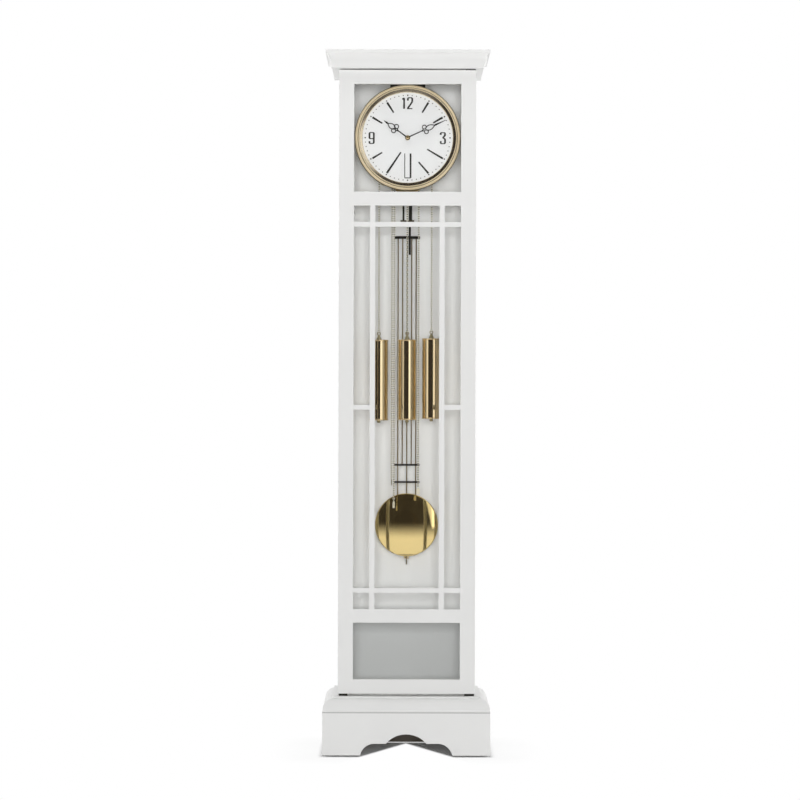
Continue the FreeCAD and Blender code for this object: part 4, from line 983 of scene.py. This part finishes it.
class CLOCK_OT_weights(bpy.types.Operator):
    """Turns the three brass weights and their hooks"""

    bl_idname = "clock.weights"
    bl_label = "Turn the weights"

    def execute(self, context):
        for side in SIDES:
            low, high = (np.array(corner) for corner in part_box("weight_" + side))
            middle = (low + high) / 2
            radius = (high[0] - low[0]) / 2
            cap_low = low[2] + FOOT_HEIGHT
            cap_high = high[2] - HOOK_HEIGHT
            tube = piece("weight_%s_tube" % side, [weight_tube(middle, radius, cap_low, cap_high)],
                         FINISHES["weight"], sharp=60)
            foot = rounded(FOOT_PROFILE, FOOT_ROUND)
            nut = rounded(NUT_PROFILE, NUT_ROUND)
            hook = piece("weight_%s_hook" % side, [
                turned(foot, (middle[0], middle[1], low[2]), "z", steps=32),
                turned(nut, (middle[0], middle[1], cap_high), "z", steps=32),
                hoop((middle[0], middle[1], high[2] - HOOP_DROP), HOOP_RADIUS, HOOP_WIRE),
            ], FINISHES["hook"])
            for item in (tube, hook):
                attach(item, side + "_weight")
                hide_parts("weight_" + side)
        return {"FINISHED"}


# Bob: its clearance from the nut and bars, its lip, its back edge and the guide behind it, in metres

BOB_REST = 0.0003
BOB_LIP = 0.0012
LIP_INSET = 0.0003
LIP_DROPS = (0.0006, 0.0016)
BACK_BEVEL = 0.0008
GUIDE_HALF = 0.005
GUIDE_HEIGHT = 0.08


def bob_profile(radius, depth, rim):
    """Radius and height of the bob: a cap of a sphere, a small rounded lip and a flat back.

    The cap's height falls from the depth at the middle by sphere - sqrt(sphere^2 - reach^2).
    """
    crown = depth - rim
    sphere = (radius ** 2 + crown ** 2) / (2 * crown)
    reach = np.linspace(0, radius - BOB_LIP, 60)
    dome = depth - (sphere - np.sqrt(sphere ** 2 - reach ** 2))
    upper, lower = (dome[-1] - drop for drop in LIP_DROPS)
    lip = [(radius - LIP_INSET, upper), (radius, lower), (radius, BACK_BEVEL), (radius - BACK_BEVEL, 0.0),
           (0.0, 0.0)]
    return np.concatenate([np.column_stack([reach, dome]), lip])


class CLOCK_OT_bob(bpy.types.Operator):
    """Turns the domed bob and its guide"""

    bl_idname = "clock.bob"
    bl_label = "Turn the bob"

    def execute(self, context):
        low, high = (np.array(corner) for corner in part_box("pendulum_bob"))
        middle = (low + high) / 2
        radius = (high[0] - low[0]) / 2 - BOB_REST
        depth = context.scene.clock_sizes.bob_depth
        profile = bob_profile(radius, depth, context.scene.clock_sizes.bob_rim)
        back = low[1] + depth
        guide = block((middle[0] - GUIDE_HALF, back, low[2] + BOB_REST),
                      (middle[0] + GUIDE_HALF, high[1], low[2] + GUIDE_HEIGHT))
        parts = [turned(profile, (middle[0], back, middle[2]), "front", steps=160), guide]
        item = piece("bob_lens", parts, FINISHES["bob"], sharp=30)
        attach(item, "bob")
        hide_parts("pendulum_bob")
        return {"FINISHED"}


# Chains: how far their last links reach into a weight's hook and an end tag, in metres

HOOK_OVERLAP = 0.003
TAG_OVERLAP = 0.001
# Angle between a link's faces up to which they are shaded as one round wire
LINK_SHARP = 120


def links(path, directions, sizes):
    """Chain links along a path: stadium-shaped wires, each turned a quarter against the one before.

    A link is the stadium's middle line times the direction and its side, plus the wire's square section.
    Its wear and contact shade (tarnish and painted shade) grows from 0 at its length's middle to 1 at its
    ends.
    """
    pitch = sizes.link_pitch
    half_width = sizes.link_width / 2
    half_long = pitch / 2 + sizes.link_wire
    turn = np.radians([0, 45, 90, 135, 180])
    height = half_long - half_width + half_width * np.sin(turn)
    top = np.column_stack([half_width * np.cos(turn), height])
    line = np.concatenate([top, [(-half_width, 0.0)], -top, [(half_width, 0.0)]])
    heading = np.roll(line, -1, axis=0) - np.roll(line, 1, axis=0)
    heading /= np.linalg.norm(heading, axis=1, keepdims=True)
    out = np.column_stack([heading[:, 1], -heading[:, 0]])
    corners = np.array([[1, 0], [0, 1], [-1, 0], [0, -1]]) * sizes.link_wire
    flat = line[:, None, :] + out[:, None, :] * corners[None, :, 0:1]
    lift = np.broadcast_to(corners[None, :, 1], flat.shape[:2])
    count = len(path)
    across = np.cross(directions, np.array([0.0, 1.0, 0.0]))
    across /= np.linalg.norm(across, axis=1, keepdims=True)
    other = np.cross(directions, across)
    odd = (np.arange(count) % 2 == 1)[:, None]
    side = np.where(odd, across, other)
    normal = np.cross(directions, side)
    points = path[:, None, None, :] + flat[None, :, :, 0:1] * side[:, None, None, :]
    points = points + flat[None, :, :, 1:2] * directions[:, None, None, :]
    points = points + lift[None, :, :, None] * normal[:, None, None, :]
    vertices, quads = grid(points[0], wrap_rows=True, wrap_columns=True)
    size = len(vertices)
    every = quads[None, :, :] + (np.arange(count) * size)[:, None, None]
    wear_and_contact_shade = np.tile(np.repeat(np.abs(line[:, 1]) / half_long, 4), count)
    return (points.reshape(-1, 3), every.reshape(-1, 4)), wear_and_contact_shade


class CLOCK_OT_chains(bpy.types.Operator):
    """Hangs the three link chains over their wheels"""

    bl_idname = "clock.chains"
    bl_label = "Hang the chains"

    def execute(self, context):
        sizes = context.scene.clock_sizes
        pitch = sizes.link_pitch
        for side in SIDES:
            low, high = (np.array(corner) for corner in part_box("chain_" + side))
            weight = middle_of("weight_" + side)[0]
            tag = middle_of("chain_tag_" + side)[0]
            weight_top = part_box("weight_" + side)[1][2]
            tag_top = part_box("chain_tag_" + side)[1][2]
            y = weight[1]
            radius = abs(weight[0] - tag[0]) / 2
            wheel_x = (weight[0] + tag[0]) / 2
            wheel_z = high[2] - (high[1] - low[1]) / 2 - radius
            runs = (("weight", weight[0], weight_top - HOOK_OVERLAP, side + "_weight"),
                    ("free", tag[0], tag_top - TAG_OVERLAP, side + "_chain_end"))
            for run, x, end, body in runs:
                count = int((wheel_z - end) / pitch)
                z = end + (np.arange(count) + 0.5) * (wheel_z - end) / count
                path = np.column_stack([np.full(count, x), np.full(count, y), z])
                directions = np.tile([0.0, 0.0, 1.0], (count, 1))
                hanging, wear_and_contact_shade = links(path, directions, sizes)
                item = piece("chain_%s_%s_links" % (side, run), [hanging], FINISHES["chain"],
                             LINK_SHARP, wear_and_contact_shade)
                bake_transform(item)
                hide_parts("chain_" + side)
            count = int(math.pi * radius / pitch)
            angle = (np.arange(count) + 0.5) * math.pi / count
            outward = np.column_stack([np.cos(angle), np.zeros(count), np.sin(angle)])
            path = np.array([wheel_x, y, wheel_z]) + radius * outward
            directions = np.column_stack([-np.sin(angle), np.zeros(count), np.cos(angle)])
            laid, wear_and_contact_shade = links(path, directions, sizes)
            item = piece("chain_%s_wheel_links" % side, [laid], FINISHES["chain"], LINK_SHARP, wear_and_contact_shade)
            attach(item, "case")
            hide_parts("chain_" + side)
        return {"FINISHED"}


# Stage: places in metres

FLOOR_REACH = 30.0
# The soft shadow's dark core and pale fringe: start and end from the foot, and what each adds to the
# white there
SHADOW_CORE = (0.0, 0.016, 0.0, 0.86)
SHADOW_FRINGE = (0.01, 0.16, 0.0, 0.14)
# The wedge of floor that reaches through the arch, which glows white as painted light: its depth at the
# middle, its narrowing and the blur of its edge, and then the floor's own tones
WEDGE_DEPTH = 0.13
WEDGE_SLOPE = 2.1
WEDGE_BLUR = (-0.01, 0.03)
FLOOR_TONES = ((0.92, 0.92, 0.92), (0.94, 0.94, 0.94))
# What the brass mirrors: a dark wall behind the camera, dark ground before it, and a grey wall to the
# right. The dark fades out below the height it is seen from, and is gone at a slope
DARK_TONE = (0.042, 0.038, 0.036)
DARK_TOP = 0.61
DARK_FADE = 0.31
DARK_WALL = ((-6.5, -7.6, 0.0), (3.1, -7.6, 0.0), (1.5, -7.6, 8.0), (-6.5, -7.6, 9.5))
DARK_GROUND = ((-6.5, -7.6, 0.01), (3.1, -7.6, 0.01), (3.1, -1.8, 0.01), (-6.5, -1.8, 0.01))
GREY_WALL = ((5.6, -5.6, 0.0), (5.6, -0.8, 0.0), (5.6, -0.8, 6.0), (5.6, -5.6, 6.0))
GREY_SPAN = (-5.6, -2.0)
GREY_TONE = (1.0, 0.98, 0.95)
GREY_SHARES = (0.75, 0.40)
# Lamps: their places, the points they face, their width and height, and the key's spread in radians
KEY_PLACE = (0.0, -7.2, 1.25)
KEY_AIM = (0.0, 0.0, 2.6)
KEY_SIZE = (1.5, 1.5)
KEY_SPREAD = 1.6
CLOCK_AIM = (0.0, 0.0, 0.95)
SOFTBOX_PLACE = (2.6, -4.9, 1.5)
SOFTBOX_SIZE = (1.0, 3.0)
# Each wash lamp's name, place, size and share of the wash's power
WASH_LAMPS = (
    ("wash_left", (-4.0, 0.6, 1.6), (2.0, 2.6), 1.0),
    ("wash_right", (4.0, 0.6, 1.6), (2.0, 2.6), 1.0),
    ("wash_back", (0.0, 4.2, 1.6), (2.6, 2.6), 0.8),
    ("wash_top", (0.0, -1.0, 4.6), (2.0, 2.0), 0.5),
)
# The camera's sensor in millimetres and the end of its view in metres
SENSOR_WIDTH = 36.0
VIEW_END = 100.0


def sheet(name, corners, finish):
    """A flat four-cornered sheet."""
    mesh = bpy.data.meshes.new(name)
    mesh.from_pydata(corners, [], [(0, 1, 2, 3)])
    mesh.materials.append(finish)
    item = bpy.data.objects.new(name, mesh)
    bpy.context.scene.collection.objects.link(item)
    return item


def lamp(name, place, target, size, power, spread=math.pi):
    """A rectangular lamp that faces a point and throws its light within the spread."""
    source = bpy.data.lights.new(name, "AREA")
    source.shape = "RECTANGLE"
    source.size, source.size_y = size
    source.energy = power
    source.spread = spread
    item = bpy.data.objects.new(name, source)
    bpy.context.scene.collection.objects.link(item)
    item.location = place
    toward = np.array(target) - np.array(place)
    tilt = math.atan2(math.hypot(toward[0], toward[1]), -toward[2])
    turn = math.atan2(toward[1], toward[0]) - math.pi / 2
    item.rotation_euler = (tilt, 0.0, turn)
    return item


def white_world(name, ambient):
    """A surround that is white where it is seen, and gives the ambient share of that as light."""
    world = bpy.data.worlds.new(name)
    world.use_nodes = True
    sky = Finish(name, world.node_tree)
    light = ambient + sky.seen() * (1.0 - ambient)
    shine = sky.node("Background", {}, {"Color": WHITE, "Strength": light})
    end = sky.tree.nodes.new("ShaderNodeOutputWorld")
    sky.tree.links.new(shine.socket, end.inputs["Surface"])
    return world


def floor_finish(name):
    """Matt and pale, taking the shadow close round the foot, plain white beyond, and a painted-light glow
    through the arch.

    The distance from the foot is the length of max(|place| - corner, 0).
    """
    ground = Finish(name)
    high = CAD_BOX[1]
    mirrored = ground.node("VectorMath", {"operation": "ABSOLUTE"}, {0: ground.place()})
    corner = (high[0], high[1], 0.0)
    beyond = ground.node("VectorMath", {"operation": "SUBTRACT"}, {0: mirrored, 1: corner})
    nothing = (0.0, 0.0, 0.0)
    outside = ground.node("VectorMath", {"operation": "MAXIMUM"}, {0: beyond, 1: nothing})
    spot = ground.node("VectorMath", {"operation": "LENGTH"}, {0: outside}, output="Value")
    # Painted light: a wedge under the plinth that glows white where light would fall through the arch
    in_front = WEDGE_DEPTH - WEDGE_SLOPE * abs(ground.along("X")) - ground.along("Y")
    painted_light_wedge = ground.ramp(in_front, *WEDGE_BLUR)
    around = ground.ramp(spot, *SHADOW_CORE) + ground.ramp(spot, *SHADOW_FRINGE)
    fade = ground.node("Math", {"operation": "MAXIMUM"}, {0: painted_light_wedge, 1: around})
    cloud = ground.noise(1.5)
    pale = ground.mix(cloud, *[opaque(tone) for tone in FLOOR_TONES])
    matt = ground.node("BsdfDiffuse", {}, {"Color": pale})
    glow = ground.node("Emission", {}, {"Color": WHITE, "Strength": 1.0})
    ground.end(ground.node("MixShader", {}, {0: fade * ground.seen(), 1: matt, 2: glow}))
    return ground.material


def dark_card_finish(name):
    """A dark glow that fades out downwards, by the drop in height over the distance."""
    dark = Finish(name)
    slope = (DARK_TOP - dark.along("Z")) / (0.0 - dark.along("Y"))
    through = dark.node("BsdfTransparent")
    dim = dark.node("Emission", {}, {"Color": opaque(DARK_TONE), "Strength": 1.0})
    dark.end(dark.node("MixShader", {}, {0: dark.ramp(slope, 0.0, DARK_FADE), 1: dim, 2: through}))
    return dark.material


def grey_card_finish(name):
    """A grey glow that is darker towards the clock."""
    card = Finish(name)
    near, far = (opaque(GREY_TONE, share) for share in GREY_SHARES)
    tone = card.mix(card.ramp(card.along("Y"), *GREY_SPAN), near, far)
    card.end(card.node("Emission", {}, {"Color": tone, "Strength": 1.0}))
    return card.material


def hang_cards():
    """The cards that only mirrors show."""
    dark = dark_card_finish("dark_studio")
    grey = grey_card_finish("grey_studio")
    cards = [
        sheet("dark_wall", DARK_WALL, dark),
        sheet("dark_ground", DARK_GROUND, dark),
        sheet("grey_wall", GREY_WALL, grey),
    ]
    for card in cards:
        card.visible_camera = False
        card.visible_diffuse = False
        card.visible_shadow = False
        card.visible_transmission = False


def hang_lamps(stage):
    """A key and washes that mirrors don't show, and a softbox that they do."""
    matt_lamps = [lamp("key_lamp", KEY_PLACE, KEY_AIM, KEY_SIZE, stage.key, KEY_SPREAD)]
    for name, place, size, share in WASH_LAMPS:
        matt_lamps.append(lamp(name, place, CLOCK_AIM, size, share * stage.wash))
    for item in matt_lamps:
        item.visible_glossy = False
    lamp("softbox", SOFTBOX_PLACE, CLOCK_AIM, SOFTBOX_SIZE, stage.softbox)


def camera_before_door(stage):
    """A camera that looks straight back along +Y."""
    lens = bpy.data.cameras.new("camera")
    lens.lens = stage.lens
    lens.sensor_width = SENSOR_WIDTH
    lens.clip_end = VIEW_END
    camera = bpy.data.objects.new("camera", lens)
    bpy.context.scene.collection.objects.link(camera)
    door_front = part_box("stile_left")[0][1]
    camera.location = (stage.camera_x, door_front - stage.distance, stage.camera_z)
    camera.rotation_euler = (math.pi / 2, stage.roll, 0.0)
    return camera


class CLOCK_OT_stage(bpy.types.Operator):
    """Sets the floor, the light and the camera"""

    bl_idname = "clock.stage"
    bl_label = "Set the stage"

    def execute(self, context):
        scene = context.scene
        scene.view_settings.view_transform = "Standard"
        scene.world = white_world("studio_white", scene.clock_stage.ambient)
        corners = [(-1, -1), (1, -1), (1, 1), (-1, 1)]
        floor = [(x * FLOOR_REACH, y * FLOOR_REACH, 0) for x, y in corners]
        sheet("floor", floor, floor_finish("pale_floor"))
        hang_cards()
        hang_lamps(scene.clock_stage)
        scene.camera = camera_before_door(scene.clock_stage)
        return {"FINISHED"}


class CLOCK_PT_panel(bpy.types.Panel):
    """Lists the clock's operators"""

    bl_idname = "CLOCK_PT_panel"
    bl_label = "Longcase clock"
    bl_space_type = "VIEW_3D"
    bl_region_type = "UI"
    bl_category = "Clock"

    def draw(self, context):
        for operator in OPERATORS:
            self.layout.operator(operator.bl_idname)
        scene = context.scene
        for settings in (scene.clock_finishes, scene.clock_sizes, scene.clock_stage):
            for name in settings.__annotations__:
                self.layout.prop(settings, name)


OPERATORS = (CLOCK_OT_finishes, CLOCK_OT_hands, CLOCK_OT_dial_print, CLOCK_OT_bezel, CLOCK_OT_weights,
             CLOCK_OT_bob, CLOCK_OT_chains, CLOCK_OT_stage)
GROUPS = (ClockFinishes, ClockSizes, ClockStage)


def register():
    for kind in GROUPS + OPERATORS + (CLOCK_PT_panel,):
        bpy.utils.register_class(kind)
    bpy.types.Scene.clock_finishes = bpy.props.PointerProperty(type=ClockFinishes)
    bpy.types.Scene.clock_sizes = bpy.props.PointerProperty(type=ClockSizes)
    bpy.types.Scene.clock_stage = bpy.props.PointerProperty(type=ClockStage)


def unregister():
    del bpy.types.Scene.clock_stage
    del bpy.types.Scene.clock_sizes
    del bpy.types.Scene.clock_finishes
    for kind in reversed(GROUPS + OPERATORS + (CLOCK_PT_panel,)):
        bpy.utils.unregister_class(kind)


def main():
    """Runs every operator in order."""
    register()
    bpy.ops.clock.finishes()
    bpy.ops.clock.hands()
    bpy.ops.clock.dial_print()
    bpy.ops.clock.bezel()
    bpy.ops.clock.weights()
    bpy.ops.clock.bob()
    bpy.ops.clock.chains()
    bpy.ops.clock.stage()


if __name__ == "__main__":
    main()
